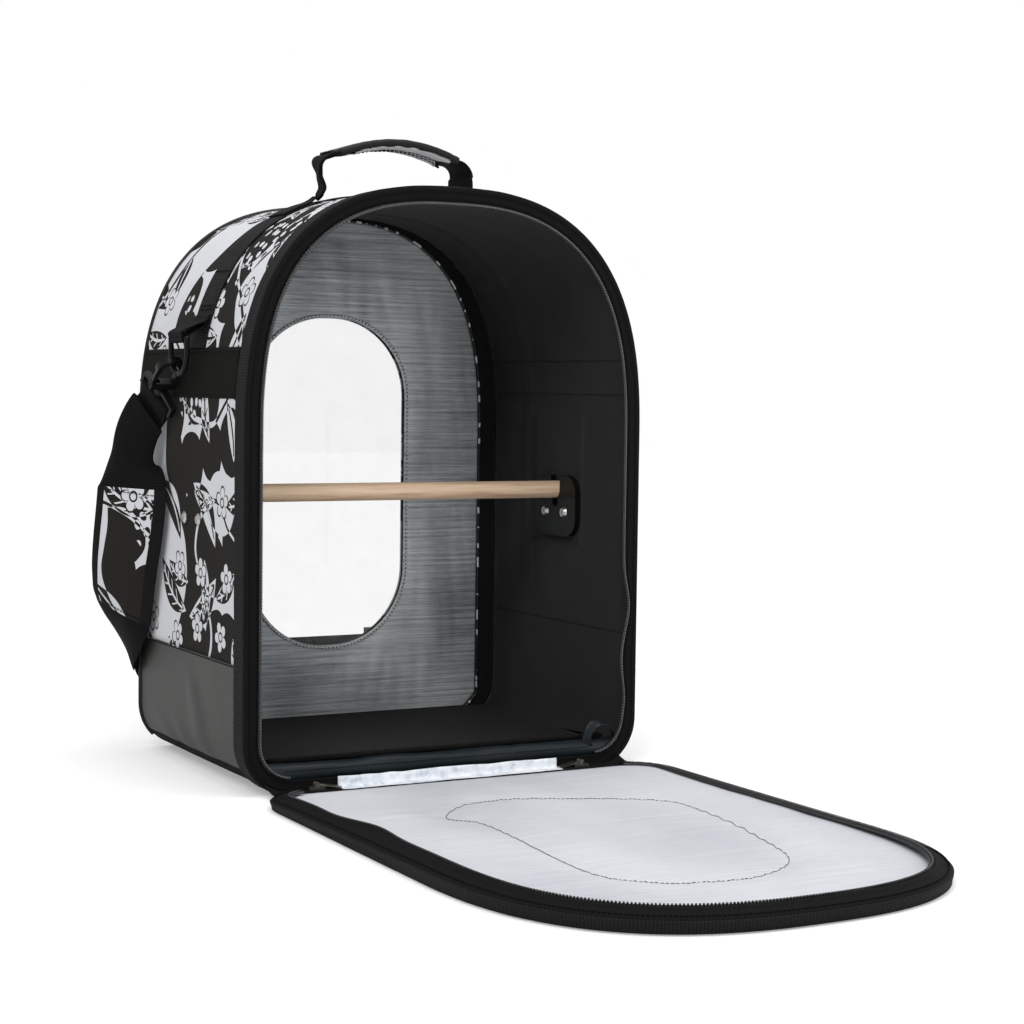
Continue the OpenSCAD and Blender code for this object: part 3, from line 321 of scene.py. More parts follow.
def makeFinishes():
    kit = {}
    kit["print"] = printFinish("gardenPrint", (0.31, 0.17, 0))
    kit["lining"] = weaveFinish("darkLining", (0.0088, 0.0088, 0.0085), 0.8, shine=0.12, sheen=0.1)
    kit["seamCloth"] = weaveFinish("seamCloth", (0.007, 0.007, 0.007), 0.8)
    kit["web"] = webFinish("webbing", tones["black"], 0.0013, 0.5)
    kit["binding"] = webFinish("ribbedBinding", (0.0105, 0.0108, 0.0110), 0.0024, 1.0, slope=0.5, shine=0.14)
    kit["tape"] = webFinish("zipTape", (0.0065, 0.0065, 0.007), 0.0011, 0.5)
    kit["ribWeb"] = webFinish("ribbedWebbing", (0.0080, 0.0078, 0.0075), 0.0024, 1.0, slope=0.2, shine=0.14)
    kit["strapWeb"] = webFinish("strapWebbing", (0.0050, 0.0050, 0.0050), 0.0016, 0.8, slope=0.3)
    kit["band"] = weaveFinish("bandCloth", (0.0082, 0.0078, 0.0066), 0.8, 0.0008, 0.3, shine=0.05)
    kit["silver"] = silverFinish("silverLining", (0.13, 0.155, 0.19), (0.95, 0.99, 1.0), 0.42, 1.7, 0.2, 8, 1.5)
    kit["doorSilver"] = silverFinish("doorLining", (0.43, 0.45, 0.49), (0.71, 0.73, 0.765), 0.6, 1.0, 0.0, 9, 1.0)
    f = Finish("foldStrip", (0.8, 0.82, 0.86), 0.6, Specular_IOR_Level=0.2)
    flat = f.uv()
    marks = f.noise(flat, 120, 3, 0.6)
    cloud = f.noise(flat, 30, 2)
    stops = [(0.35, (0.48, 0.53, 0.62)), (0.46, (0.72, 0.76, 0.82)), (0.60, (0.86, 0.88, 0.91))]
    f.give("Base Color", f.ramp(marks * 0.6 + cloud * 0.4, stops))
    f.give("Roughness", 0.5 + cloud * 0.2)
    f.bump(marks + f.noise(flat, 260, 2), 0.5, 0.0008)
    kit["strip"] = f
    kit["lip"] = weaveFinish("paleLining", (0.78, 0.78, 0.79), 0.7, 0.0005, 0.3)
    f = Finish("pipingPaintedGlints", (0.02, 0.02, 0.021), 0.3, Specular_IOR_Level=0.5)
    flat = f.uv()
    # painted highlights: short pale marks along the piping stand in for its glints
    paintedGleam = f.noise(f.stretch(flat, (75, 1, 1)), 1.0, 2)
    lit = (paintedGleam > 0.53) * (f.noise(f.stretch(flat, (6, 1, 1)), 1.0, 1) > 0.42)
    f.give("Base Color", f.mix(lit, (0.012, 0.012, 0.013), (0.80, 0.81, 0.84)))
    f.give("Roughness", 0.25 + paintedGleam * 0.2)
    kit["paintedGleam"] = f
    kit["black"] = moulded("blackPlastic", (0.0045, 0.0045, 0.0047), 0.3, shine=0.16)
    kit["coil"] = moulded("zipCoil", (0.020, 0.020, 0.021), 0.22, 0.05, shine=0.5)
    kit["piping"] = moulded("pipingVinyl", (0.007, 0.007, 0.007), 0.4)
    kit["thread"] = weaveFinish("blackThread", tones["thread"], 0.7, 0.0003)
    kit["paleThread"] = weaveFinish("paleThread", (0.80, 0.82, 0.86), 0.6, 0.0003)
    # pale grey of the dots along the cabin zip's teeth: painted highlights
    kit["tooth"] = moulded("paintedToothHighlights", (0.24, 0.24, 0.245), 0.3, 0.05)
    kit["greyThread"] = weaveFinish("greyThread", (0.10, 0.10, 0.105), 0.7, 0.0003)
    f = Finish("bootVinyl", tones["vinyl"], 0.45, Specular_IOR_Level=0.35, Coat_Weight=0.05, Coat_Roughness=0.4)
    flat = f.uv()
    grain = f.pebbles(flat, 1300)
    # painted shade and light: broad diagonal streaks, lighter and darker, laid into the vinyl's colour
    leaning = f.turned(flat, 0.6)
    cloud = f.noise(f.stretch(leaning, (8, 20, 1)), 1.0, 3)
    toneAndPaintedShade = (cloud - 0.5) * 2.2 + 0.5
    f.give("Base Color", f.mix(toneAndPaintedShade, shaded(tones["vinyl"], 0.55), shaded(tones["vinyl"], 1.5)))
    f.give("Roughness", 0.40 + cloud * 0.16)
    f.bump(grain + cloud * 0.5, 0.22, 0.0004)
    kit["vinyl"] = f
    f = Finish("gripVinyl", (0.009, 0.009, 0.009), 0.42, Specular_IOR_Level=0.22)
    flat = f.uv()
    f.bump(f.pebbles(flat, 1100), 0.3, 0.0004)
    f.give("Base Color", f.mix(f.noise(flat, 60, 3), (0.006, 0.006, 0.006), (0.012, 0.012, 0.012)))
    f.give("Roughness", 0.36 + f.noise(flat, 60, 3) * 0.16)
    kit["grip"] = f
    f = Finish("shinyNylon", (0.007, 0.011, 0.013), 0.38, Specular_IOR_Level=0.2)
    flat = f.uv()
    ripples = f.noise(f.stretch(flat, (9, 60, 1)), 1.0, 4)
    f.give("Base Color", f.mix(ripples, (0.0045, 0.0072, 0.0085), (0.019, 0.027, 0.031)))
    f.give("Roughness", 0.28 + ripples * 0.2)
    f.bump(ripples, 0.5, 0.003)
    kit["nylon"] = f
    kit["mat"] = weaveFinish("matCloth", (0.0050, 0.0049, 0.0045), 0.75, sheen=0.05, shine=0.06)
    f = Finish("perchWood", (0.62, 0.45, 0.33), 0.55)
    spot = f.place()
    grain = f.noise(f.stretch(spot, (14, 260, 260)), 1.0, 5, 0.6)
    streak = f.noise(f.stretch(spot, (5, 90, 90)), 1.0, 3)
    stops = [(0.32, (0.38, 0.22, 0.13)), (0.45, (0.74, 0.51, 0.34)), (0.62, (0.90, 0.69, 0.49))]
    f.give("Base Color", f.ramp(grain * 0.6 + streak * 0.4, stops))
    f.give("Roughness", 0.5 + grain * 0.2)
    f.bump(grain, 0.3, 0.0004)
    kit["wood"] = f
    for name, tone, rough in (("nickel", (0.6, 0.58, 0.54), 0.22), ("gunmetal", (0.40, 0.38, 0.34), 0.22)):
        f = Finish(name, tone, rough, Metallic=1.0)
        spots = f.noise(f.place(), 280, 3)
        f.give("Base Color", f.mix(spots, shaded(tone, 0.75), shaded(tone, 1.15)))
        f.give("Roughness", rough + spots * 0.2)
        kit[name] = f
    f = Finish("clearVinyl", (0.93, 0.95, 0.96), 0.08, Specular_IOR_Level=0.6)
    f.give("Alpha", 0.06 + f.noise(f.uv(), 40, 3) * 0.05)
    f.give("Roughness", 0.05 + f.noise(f.uv(), 60, 2) * 0.1)
    f.bump(f.noise(f.uv(), 30, 3), 0.3, 0.002)
    kit["film"] = f
    return kit


kit = makeFinishes()
print("finishes made:", len(kit))
slots = {
    "print": "print_cloth", "lining": "dark_lining", "seamCloth": "dark_lining", "web": "ribbed_webbing",
    "binding": "ribbed_webbing", "tape": "zip_cloth", "silver": "silver_lining", "doorSilver": "silver_lining",
    "strip": "silver_lining", "coil": "zip_teeth", "piping": "piping", "vinyl": "vinyl", "grip": "grip_vinyl",
    "nylon": "nylon", "mat": "mat_cloth", "film": "film", "black": "black_plastic",
    "lip": "dark_lining", "paintedGleam": "piping", "ribWeb": "ribbed_webbing", "strapWeb": "ribbed_webbing",
    "band": "ribbed_webbing",
}


def dress(obj, finish):
    obj.data.materials.clear()
    obj.data.materials.append(kit[finish].mat)
    return obj


def finished(obj, finish, bodyName, *replaced):
    # finish, body and the nodes a new piece stands for
    dress(obj, finish)
    finish in slots
    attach(obj, bodyName)
    if replaced:
        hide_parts(*replaced)
    return obj


# mesh helpers
def steps(a, b, n):
    return [a + (b - a) * i / n for i in range(n + 1)]


def ease(v):
    c = min(max(v, 0), 1)
    return c * c * (3 - 2 * c)


def wobble(x, y, z, scale, seed=0.0):
    return noise.noise(Vector((x * scale + seed, y * scale - seed, z * scale + seed * 0.5)))


def bell(v, middle, wide):
    # 1 at the middle, falling off on both sides
    return math.exp(-((v - middle) / wide) ** 2)


def turns(n):
    # angles round a circle
    return [2 * math.pi * i / n for i in range(n)]


def through(values, k, u, ring=False):
    # smooth curve through values or points, a share u of the way from number k to the next
    n = len(values)
    p0, p1, p2, p3 = (values[(k + d) % n if ring else min(max(k + d, 0), n - 1)] for d in (-1, 0, 1, 2))
    return 0.5 * (2 * p1 + (p2 - p0) * u + (2 * p0 - 5 * p1 + 4 * p2 - p3) * u * u
                  + (3 * p1 - p0 - 3 * p2 + p3) * u ** 3)


def outwards(path):
    # directions away from a path in an upright plane, a quarter turn from its own
    last = len(path) - 1
    pairs = [path[min(i + 1, last)] - path[max(i - 1, 0)] for i in range(last + 1)]
    return [Vector((d.z, 0, -d.x)).normalized() for d in pairs]


def flatten(data, place):
    # flat coordinates of a mesh from the places of its points
    layer = data.uv_layers["cloth"]
    for loop in data.loops:
        layer.data[loop.index].uv = place(data.vertices[loop.vertex_index].co)


def newObject(name, data):
    obj = bpy.data.objects.new(name, data)
    bpy.context.scene.collection.objects.link(obj)
    return obj


def running(points, closed=False):
    out = [0.0]
    for a, b in zip(points, points[1:] + points[:1]):
        out.append(out[-1] + (Vector(b) - Vector(a)).length)
    return out if closed else out[:-1]


def loft(name, rows, ring=True, closed=False, us=None, vs=None, thick=0.0):
    # skin over rows of points, with flat coordinates of run along the rows and across them
    n, m = len(rows), len(rows[0])
    us = us or running([sum((Vector(p) for p in r), Vector()) / m for r in rows], closed)
    vs = vs or running(rows[n // 2], ring)
    faces, corners = [], []
    for i in range(n if closed else n - 1):
        for j in range(m if ring else m - 1):
            k, l = (i + 1) % n, (j + 1) % m
            faces.append((i * m + j, k * m + j, k * m + l, i * m + l))
            corners += [(us[i], vs[j]), (us[i + 1], vs[j]), (us[i + 1], vs[j + 1]), (us[i], vs[j + 1])]
    if ring and not closed:
        for i in (0, n - 1):
            faces.append(tuple(range(i * m, i * m + m)))
            corners += [(us[i] + vs[j], vs[j]) for j in range(m)]
    data = bpy.data.meshes.new(name)
    data.from_pydata([tuple(p) for r in rows for p in r], [], faces)
    layer = data.uv_layers.new(name="cloth")
    for loop, flat in zip(layer.data, corners):
        loop.uv = flat
    if ring:
        tidy = bmesh.new()
        tidy.from_mesh(data)
        bmesh.ops.recalc_face_normals(tidy, faces=tidy.faces)
        tidy.to_mesh(data)
        tidy.free()
    data.shade_smooth()
    obj = newObject(name, data)
    if thick:
        cloth = obj.modifiers.new("thick", "SOLIDIFY")
        cloth.thickness, cloth.offset = thick, 0
    return obj


def stitched(name, path, normals, finish, bodyName, pitch=0.0042, length=0.003, r=0.0004, lift=0.0001):
    # separate stitches along a path of points, on a surface with one direction outwards or one for each point
    if isinstance(normals, Vector):
        normals = [normals] * len(path)
    run = running(path)
    verts, faces = [], []
    count = int(run[-1] / pitch)
    k = 0
    for i in range(count):
        mid = (i + 0.5) * pitch
        pts = []
        for e in (-0.5, -0.32, 0, 0.32, 0.5):
            s = min(max(mid + e * length, 0), run[-1])
            while k > 0 and run[k] > s:
                k -= 1
            while k < len(run) - 2 and run[k + 1] < s:
                k += 1
            w = (s - run[k]) / max(run[k + 1] - run[k], 1e-9)
            p = Vector(path[k]).lerp(Vector(path[k + 1]), w)
            up = Vector(normals[k]).lerp(Vector(normals[k + 1]), w).normalized()
            along = (Vector(path[k + 1]) - Vector(path[k])).normalized()
            high = lift + (r * 0.9 if abs(e) < 0.4 else -r * 0.6)
            pts.append((p + up * high, up, along.cross(up)))
        base = len(verts)
        for p, up, side in pts:
            verts += [p + up * math.sin(t) * r + side * (math.cos(t) * r) for t in turns(5)]
        for q in range(4):
            for a in range(5):
                b = (a + 1) % 5
                faces.append((base + q * 5 + a, base + q * 5 + b, base + q * 5 + 5 + b, base + q * 5 + 5 + a))
        faces += [tuple(base + a for a in range(4, -1, -1)), tuple(base + 20 + a for a in range(5))]
    data = bpy.data.meshes.new(name)
    data.from_pydata([tuple(v) for v in verts], [], faces)
    data.uv_layers.new(name="cloth")
    flatten(data, lambda co: (co.x + co.z, co.y + co.z))
    data.shade_smooth()
    return finished(newObject(name, data), finish, bodyName)


def cabinProfile():
    # the cabin's upright outline as (x, z, nx, nz, run), once round from the middle of the bottom
    half, r, spring, power = body["half"], body["cornerR"], body["springZ"], body["power"]
    rise = body["height"] - spring
    pts = [((half - r) * i / 12, 0, 0, -1) for i in range(12)]
    for i in range(13):
        a = -math.pi / 2 + math.pi / 2 * i / 12
        pts.append((half - r + r * math.cos(a), r + r * math.sin(a), math.cos(a), math.sin(a)))
    pts += [(half, r + (spring - r) * i / 20, 1, 0) for i in range(1, 20)]
    for i in range(181):
        t = math.pi * i / 360
        c, s = math.cos(t), math.sin(t)
        gx = c ** (2 - 2 / power) / half if c > 1e-9 else 0
        gz = s ** (2 - 2 / power) / rise if s > 1e-9 else 0
        g = math.hypot(gx, gz)
        pts.append((half * max(c, 0) ** (2 / power), spring + rise * s ** (2 / power), gx / g, gz / g))
    pts += [(-x, z, -nx, nz) for x, z, nx, nz in reversed(pts[:-1])]
    runs = running([(p[0], 0, p[1]) for p in pts])
    return [p + (s,) for p, s in zip(pts, runs)]


profile = cabinProfile()
loopLength = profile[-1][4]


def onLoop(s):
    # point (x, z) and direction outwards at run s of the outline
    s = s % loopLength
    lo, hi = 0, len(profile) - 1
    while hi - lo > 1:
        mid = (lo + hi) // 2
        if profile[mid][4] <= s:
            lo = mid
        else:
            hi = mid
    a, b = profile[lo], profile[hi]
    w = (s - a[4]) / max(b[4] - a[4], 1e-9)
    nx, nz = a[2] + (b[2] - a[2]) * w, a[3] + (b[3] - a[3]) * w
    g = math.hypot(nx, nz)
    return a[0] + (b[0] - a[0]) * w, a[1] + (b[1] - a[1]) * w, nx / g, nz / g


bothSides = ((1, "Right"), (-1, "Left"))


def onSide(side, s):
    # the same run on the right or on the left
    return s if side > 0 else loopLength - s


def cabinPoint(s, off, y):
    x, z, nx, nz = onLoop(s)
    return Vector((x + nx * off, y, max(z + nz * off, 0.0)))


def runAt(z):
    # run on the right side of the outline where it is at height z
    return min((abs(p[1] - z), p[4]) for p in profile[:len(profile) // 2] if p[0] > 0.02)[1]


seamRun = runAt(body["seamZ"])
print("outline", round(loopLength, 4), "m")

# cabin outside
shell = {
    "step": 0.007, "puff": 0.0009, "fold": 0.0007, "sag": 0.0034, "hem": 0.0185,
    "tuck": 0.003, "rear": 0.1300, "thick": 0.0011, "stitchZ": 0.1035,
}


def addShell():
    # a skin of print over the arch and one of vinyl round the bottom, a little slack between their seams
    ys = steps(body["bindingEnd"] - shell["tuck"], shell["rear"], 34)

    def skin(name, runs, scale, seed, folded, finish, node):
        rows = []
        for s in runs:
            row = []
            for y in ys:
                x, z, nx, nz = onLoop(s)
                slack = (0.5 - 0.5 * math.cos(2 * math.pi * (y - ys[0]) / (ys[-1] - ys[0])))
                slack *= min(1, z / 0.03)
                off = -0.0006 + shell["puff"] * slack * wobble(x, y, z, scale, seed)
                if finish == "vinyl":
                    # soft creases that lean across the boot
                    lean = max(wobble(0, y * 1.6 - z * 1.1, z * 0.5 + y * 0.2, 17, 5.0), -0.1)
                    off += shell["sag"] * slack * ease((0.100 - z) / 0.03) * lean
                off += folded(z)
                row.append(Vector((x + nx * off, y, max(z + nz * off, 0.0002))))
            rows.append(row)
        obj = loft(name, rows, ring=False, us=[s - runs[0] for s in runs], vs=ys, thick=shell["thick"])
        finished(obj, finish, "cabin", node)
        runs[-1] - runs[0]
        ys[-1] - ys[0]

    count = int((loopLength - 2 * seamRun) / shell["step"])
    skin("printCover", steps(seamRun, loopLength - seamRun, count), 14, 0.0, lambda z: 0, "print", "print_cover")
    count = int(2 * seamRun / shell["step"]) * 2
    skin("vinylBoot", steps(-seamRun - 0.001, seamRun + 0.001, count), 9, 3.0,
         lambda z: shell["fold"] * ease((z - 0.102) / 0.005), "vinyl", "vinyl_boot")
    # dark base cloth takes over from the vinyl a little way up: a black bottom panel, reaching high enough to
    # paint the shade along the base too
    boot = bpy.data.objects["vinylBoot"]
    boot.data.materials.append(kit["seamCloth"].mat)
    for poly in boot.data.polygons:
        if poly.center.z < shell["hem"]:
            poly.material_index = 1
    for side, label in bothSides:
        spots = [Vector((side * (body["half"] + 0.0008), y, shell["stitchZ"])) for y in steps(-0.105, 0.128, 60)]
        stitched("bootStitches" + label, spots, Vector((side, 0, 0)), "thread", "cabin")


addShell()

front = {
    "tooth": 0.0025, "tapeWide": 0.0112, "tapeSeams": {"Outer": -0.0032, "Inner": -0.0102}, "coil": -0.0128,
    "toothWide": 0.0017, "toothHigh": 0.0013,
    # sections as (outwards, forwards from the tape's back)
    "binding": ((0.0, 0.0232), (0.0013, 0.0229), (0.0017, 0.021), (0.0015, 0.012), (0.0018, 0.006),
                (0.0017, 0.0016), (0.0012, 0.0004), (0.0002, 0.0003), (0.0001, 0.012)),
    "tape": ((0.0014, 0.0), (0.0006, -0.0009), (-0.003, -0.0010), (-0.0035, -0.0007), (-0.0085, -0.0008),
             (-0.0112, -0.0004), (-0.0112, 0.0002), (-0.006, 0.0002), (0.0, 0.0001)),
    # the zip's wander on the right: how far out, at what height and over how much of it
    "wander": ((0.0060, 0.142, 0.024), (-0.0010, 0.097, 0.014), (0.0024, 0.060, 0.016)),
}


def zipWave(s):
    # the zip wanders out and back on the right of the opening
    x, z, nx, nz = onLoop(s)
    return sum(out * bell(z, high, tall) for out, high, tall in front["wander"]) if x >= 0 else 0.0


def addFrontEdge():
    # ribbed binding that wraps the front edge
    runs = steps(0, loopLength, 420)[:-1]

    def bindingPoint(s, o, y):
        return cabinPoint(s, o + 0.0003 * wobble(s, 0, y, 40), body["tapeBackY"] + y)
    rows = [[bindingPoint(s, o, y) for o, y in front["binding"]] for s in runs]
    finished(loft("frontBinding", rows, closed=True, us=runs + [loopLength]), "binding", "cabin", "front_binding")

    # the cabin's half of the zip: a tape from the binding's edge in to the coil
    def tapePoint(s, o, y):
        return cabinPoint(s, o + zipWave(s) * min(1, -o / front["tapeWide"]) if o < 0 else o,
                          body["tapeBackY"] + y)
    rows = [[tapePoint(s, o, y) for o, y in front["tape"]] for s in runs]
    finished(loft("cabinZipTape", rows, closed=True, us=runs + [loopLength]), "tape", "cabin", "body_zip_tape")
    for label, off in front["tapeSeams"].items():
        spots = [cabinPoint(s, off + zipWave(s) * -off / front["tapeWide"], body["tapeBackY"] - 0.0009)
                 for s in steps(0, loopLength, 400)]
        stitched("tapeStitches" + label, spots, Vector((0, -1, 0)), "thread", "cabin", pitch=0.0034,
                 length=0.0024)
    # coil with its teeth
    start = runAt(0.0015)
    coilRuns = steps(start - 0.008, loopLength - start + 0.008,
                     int((loopLength - 2 * start) / front["tooth"]) * 4)

    def coil(s, out, ahead):
        return cabinPoint(s, front["coil"] + zipWave(s) + out, body["frontY"] + 0.0014 - ahead)
    finished(loft("cabinZipCoil", toothed(coilRuns, coil), us=coilRuns), "coil", "cabin", "body_zip_coil")
    # pale dots along the tops of the teeth: painted highlights where they catch the light
    runs = steps(start - 0.006, loopLength - start + 0.006, 700)
    spots = [cabinPoint(s, -0.0131 + zipWave(s), body["frontY"] - 0.0001) for s in runs]
    stitched("cabinToothHighlights", spots, Vector((0, -1, 0)), "tooth", "cabin", pitch=front["tooth"], length=0.0009,
             r=0.00036, lift=0.0)


def toothed(runs, where):
    # rows of a coil: a rounded section that swells at each tooth
    rows = []
    for s in runs:
        swell = abs(math.cos(math.pi * s / front["tooth"])) ** 0.6
        high = front["toothHigh"]
        k = 0.50 + 0.50 * swell
        row = []
        for a in turns(10):
            wide = front["toothWide"] * (1 if math.cos(a) > 0 else 0.5 + 0.6 * swell)
            row.append(where(s, math.cos(a) * wide, math.sin(a) * high * k))
        rows.append(row)
    return rows


addFrontEdge()

rear = {"y": 0.1293, "r": 0.0021, "low": 0.012}


def addRearEdge():
    # round piping along the back edge
    start = runAt(rear["low"])
    rows = [[cabinPoint(s, math.cos(a) * rear["r"], rear["y"] + math.sin(a) * rear["r"]) for a in turns(8)]
            for s in steps(start, loopLength - start, 300)]
    finished(loft("rearPiping", rows), "piping", "cabin", "rear_piping")


addRearEdge()

window = {
    "half": 0.079, "low": 0.086, "high": 0.398, "r": 0.074, "steps": 160, "stitchOff": 0.0026,
    # name, y, finish, length and thickness of the stitches round it: a dark row that paints the shade of their
    # groove, pale ones over them
    "stitches": (("Groove", 0.1255, "thread", 0.0039, 0.0006), ("Inner", 0.1249, "paleThread", 0.0027, 0.00095)),
    # section of the bound edge as (outwards, y)
    "binding": ((0.0001, 0.1321), (0.0002, 0.1330), (0.001, 0.1333), (0.0045, 0.1331), (0.0082, 0.1333),
                (0.009, 0.1329), (0.009, 0.1321)),
}


def windowOutline():
    # the window's outline as (x, z, nx, nz), once round from the right of the bottom, and the run along it
    half, r, low, high = (window[k] for k in ("half", "r", "low", "high"))
    made = []
    for cx, cz, turned in ((half - r, low + r, -90), (half - r, high - r, 0), (-half + r, high - r, 90),
                           (-half + r, low + r, 180)):
        for a in (math.radians(turned + 90 * i / 20) for i in range(21)):
            made.append((cx + r * math.cos(a), cz + r * math.sin(a), math.cos(a), math.sin(a)))
    made.append(made[0])
    return made, running([(p[0], 0, p[1]) for p in made])


windowLine, windowRuns = windowOutline()


def windowPoint(share, grow):
    # point of the window's outline at a share of the way round, moved outwards
    s = (share % 1) * windowRuns[-1]
    k = max(i for i in range(len(windowRuns) - 1) if windowRuns[i] <= s + 1e-12)
    w = (s - windowRuns[k]) / max(windowRuns[k + 1] - windowRuns[k], 1e-9)
    a, b = windowLine[k], windowLine[k + 1]
    return tuple(a[i] + (b[i] - a[i]) * w + (a[i + 2] + (b[i + 2] - a[i + 2]) * w) * grow for i in (0, 1))


panel = {
    "half": 0.160, "low": 0.010, "top": 0.490, "corner": 0.02, "pipeY": 0.1238,
    # section of the dark seam round it as (share of the way to the wall, y)
    "seam": ((-0.02, 0.1246), (0.0, 0.1243), (0.12, 0.1241), (0.5, 0.1244), (0.88, 0.1241), (1, 0.1246),
             (1, 0.1266), (-0.02, 0.1266)),
}


def panelOutline(grow):
    # the silver panel's outline, moved outwards
    half, low, top, cut = panel["half"] + grow, panel["low"] - grow, panel["top"] + grow, panel["corner"]
    pts = [(0, low), (half - cut, low), (half, low + cut)]
    pts += [(half, low + cut + (body["springZ"] - low - cut) * i / 12) for i in range(1, 12)]
    for i in range(91):
        t = math.pi / 2 * i / 90
        pts.append((half * max(math.cos(t), 0) ** (2 / body["power"]),
                    body["springZ"] + (top - body["springZ"]) * math.sin(t) ** (2 / body["power"])))
    pts += [(-x, z) for x, z in reversed(pts[:-1])]
    return pts


def around(pts, count):
    # even shares round a closed outline of [x, z]
    run = running([(p[0], 0, p[1]) for p in pts])
    out, k = [], 0
    for i in range(count):
        s = run[-1] * i / count
        while run[k + 1] < s:
            k += 1
        w = (s - run[k]) / max(run[k + 1] - run[k], 1e-9)
        out.append((pts[k][0] + (pts[k + 1][0] - pts[k][0]) * w, pts[k][1] + (pts[k + 1][1] - pts[k][1]) * w))
    return out


def matched(outer, inner):
    # for each outer point the inner point in the same direction from the middle
    mid = (0, (window["low"] + window["high"]) / 2)
    dirs = [math.atan2(z - mid[1], x - mid[0]) for x, z in inner]
    out = []
    for x, z in outer:
        a = math.atan2(z - mid[1], x - mid[0])
        k = min(range(len(inner)), key=lambda i: abs((dirs[i] - a + math.pi) % (2 * math.pi) - math.pi))
        out.append(inner[k])
    return out


def holed(name, outer, inner, where, rings=14, thick=0.0):
    # sheet between an inner and an outer outline
    rows = []
    for (ox, oz), (ix, iz) in zip(outer, inner):
        rows.append([where(ix + (ox - ix) * k, iz + (oz - iz) * k, k) for k in steps(0, 1, rings)])
    obj = loft(name, rows, ring=False, closed=True, thick=thick)
    flatten(obj.data, lambda co: (co.x + 0.6, co.z))
    return obj


def cutAt(obj, name, z):
    # splits an object at a height; the part above keeps the name
    low = obj.copy()
    low.data = obj.data.copy()
    low.name = name
    bpy.context.scene.collection.objects.link(low)
    for part, keepUpper in ((obj, True), (low, False)):
        mesh = bmesh.new()
        mesh.from_mesh(part.data)
        bmesh.ops.bisect_plane(mesh, geom=mesh.verts[:] + mesh.edges[:] + mesh.faces[:], plane_co=(0, 0, z),
                               plane_no=(0, 0, 1), clear_inner=keepUpper, clear_outer=not keepUpper)
        mesh.to_mesh(part.data)
        mesh.free()
    return low


def addBack():
    count = 480
    hole = [windowPoint(i / 960, 0) for i in range(960)]
    edge = [onLoop(loopLength * i / count) for i in range(count)]
    outer = [(x - nx * 0.0004, max(z - nz * 0.0004, 0.0004)) for x, z, nx, nz in edge]
    inner = matched(outer, hole)

    def outside(x, z, k):
        slack = math.sin(math.pi * min(k, 1)) * 0.001 * (0.4 + wobble(x, 0, z, 11, 5.0))
        return Vector((x, body["backY"] - 0.0006 + slack, z))
    cover = holed("backCover", outer, inner, outside, thick=shell["thick"])
    boot = cutAt(cover, "backBoot", body["seamZ"])
    finished(cover, "print", "cabin", "back_cover")
    finished(boot, "vinyl", "cabin", "back_boot")

    outer = around(panelOutline(0), count)
    inner = matched(outer, hole)

    def inside(x, z, k):
        # metallised lining: creases that run up and down, and a soft bulge between the window and the edge
        crease = abs(wobble(x * 2.4, 0, z * 0.5, 22, 1.0)) * 0.0014 + wobble(x, 0, z, 9, 7.0) * 0.0009
        swell = 0.0042 * max(wobble(x * 1.5, 0, z * 0.8, 13, 4.0) + 0.35, 0)
        swell *= ease((z - 0.03) / 0.05)
        swell *= math.sin(math.pi * k)
        held = math.sin(math.pi * k) ** 0.5
        return Vector((x, 0.1262 - (0.0003 + crease + 0.0005) * held - swell, z))
    silver = holed("backLining", outer, inner, inside, rings=40, thick=0.0006)
    finished(silver, "silver", "cabin", "back_lining")
    ring = [windowPoint(i / 240, window["stitchOff"]) for i in range(241)]
    for label, y, finish, long, r in window["stitches"]:
        stitched("windowStitches" + label, [Vector((x, y, z)) for x, z in ring], Vector((0, -1, 0)),
                 finish, "cabin",
                 pitch=0.0038, length=long, r=r, lift=0.0004)

    # dark seam between the panel and the walls
    near = around(panelOutline(0), 960)
    rows = []
    for x, z, nx, nz in edge:
        ox, oz = x - nx * 0.0061, z - nz * 0.0061
        ix, iz = min(near, key=lambda p: (p[0] - ox) ** 2 + (p[1] - oz) ** 2)
        rows.append([Vector((ix + (ox - ix) * k, y, iz + (oz - iz) * k)) for k, y in panel["seam"]])
    finished(loft("backSeam", rows, closed=True), "lining", "cabin", "back_seam_binding")
    # glossy piping between the silver panel and the dark walls, with its glints painted on as pale marks
    rows = []
    for x, z in around(panelOutline(0.0006), 420):
        lie = Vector((x, 0, z - 0.25)).normalized()
        rows.append([Vector((x, panel["pipeY"], z)) + lie * (math.cos(a) * 0.0011)
                     + Vector((0, math.sin(a) * 0.0009, 0))
                     for a in turns(8)])
    finished(loft("pipingPaintedGlints", rows, closed=True), "paintedGleam", "cabin")

    # clear film, crumpled along its lower edge
    rows = []
    for i in range(window["steps"]):
        x, z = windowPoint(i / window["steps"], 0.0004)
        mx, mz = 0, max(min(z, window["high"] - 0.079), window["low"] + 0.079)
        row = []
        for k in steps(0.0, 1, 12):
            px, pz = mx + (x - mx) * k, mz + (z - mz) * k
            low = ease((0.125 - pz) / 0.04)
            crumple = wobble(px * 1.6, 0, pz, 60, 2.0) * 0.0032 * low + wobble(px, 0, pz, 8, 9.0) * 0.0006
            row.append(Vector((px, 0.1303 - abs(crumple) * (1 - k * 0.4) + 0.0002, pz)))
        rows.append(row)
    film = loft("windowFilm", rows, ring=False, closed=True, thick=0.0004)
    finished(film, "film", "cabin", "window_film")
    rows = []
    for i in range(window["steps"] * 2):
        share = i / window["steps"] / 2
        row = []
        for grow, y in window["binding"]:
            x, z = windowPoint(share, grow)
            row.append(Vector((x, y, z)))
        rows.append(row)
    finished(loft("windowBinding", rows, closed=True), "web", "cabin", "window_binding")


addBack()
print("outside done")

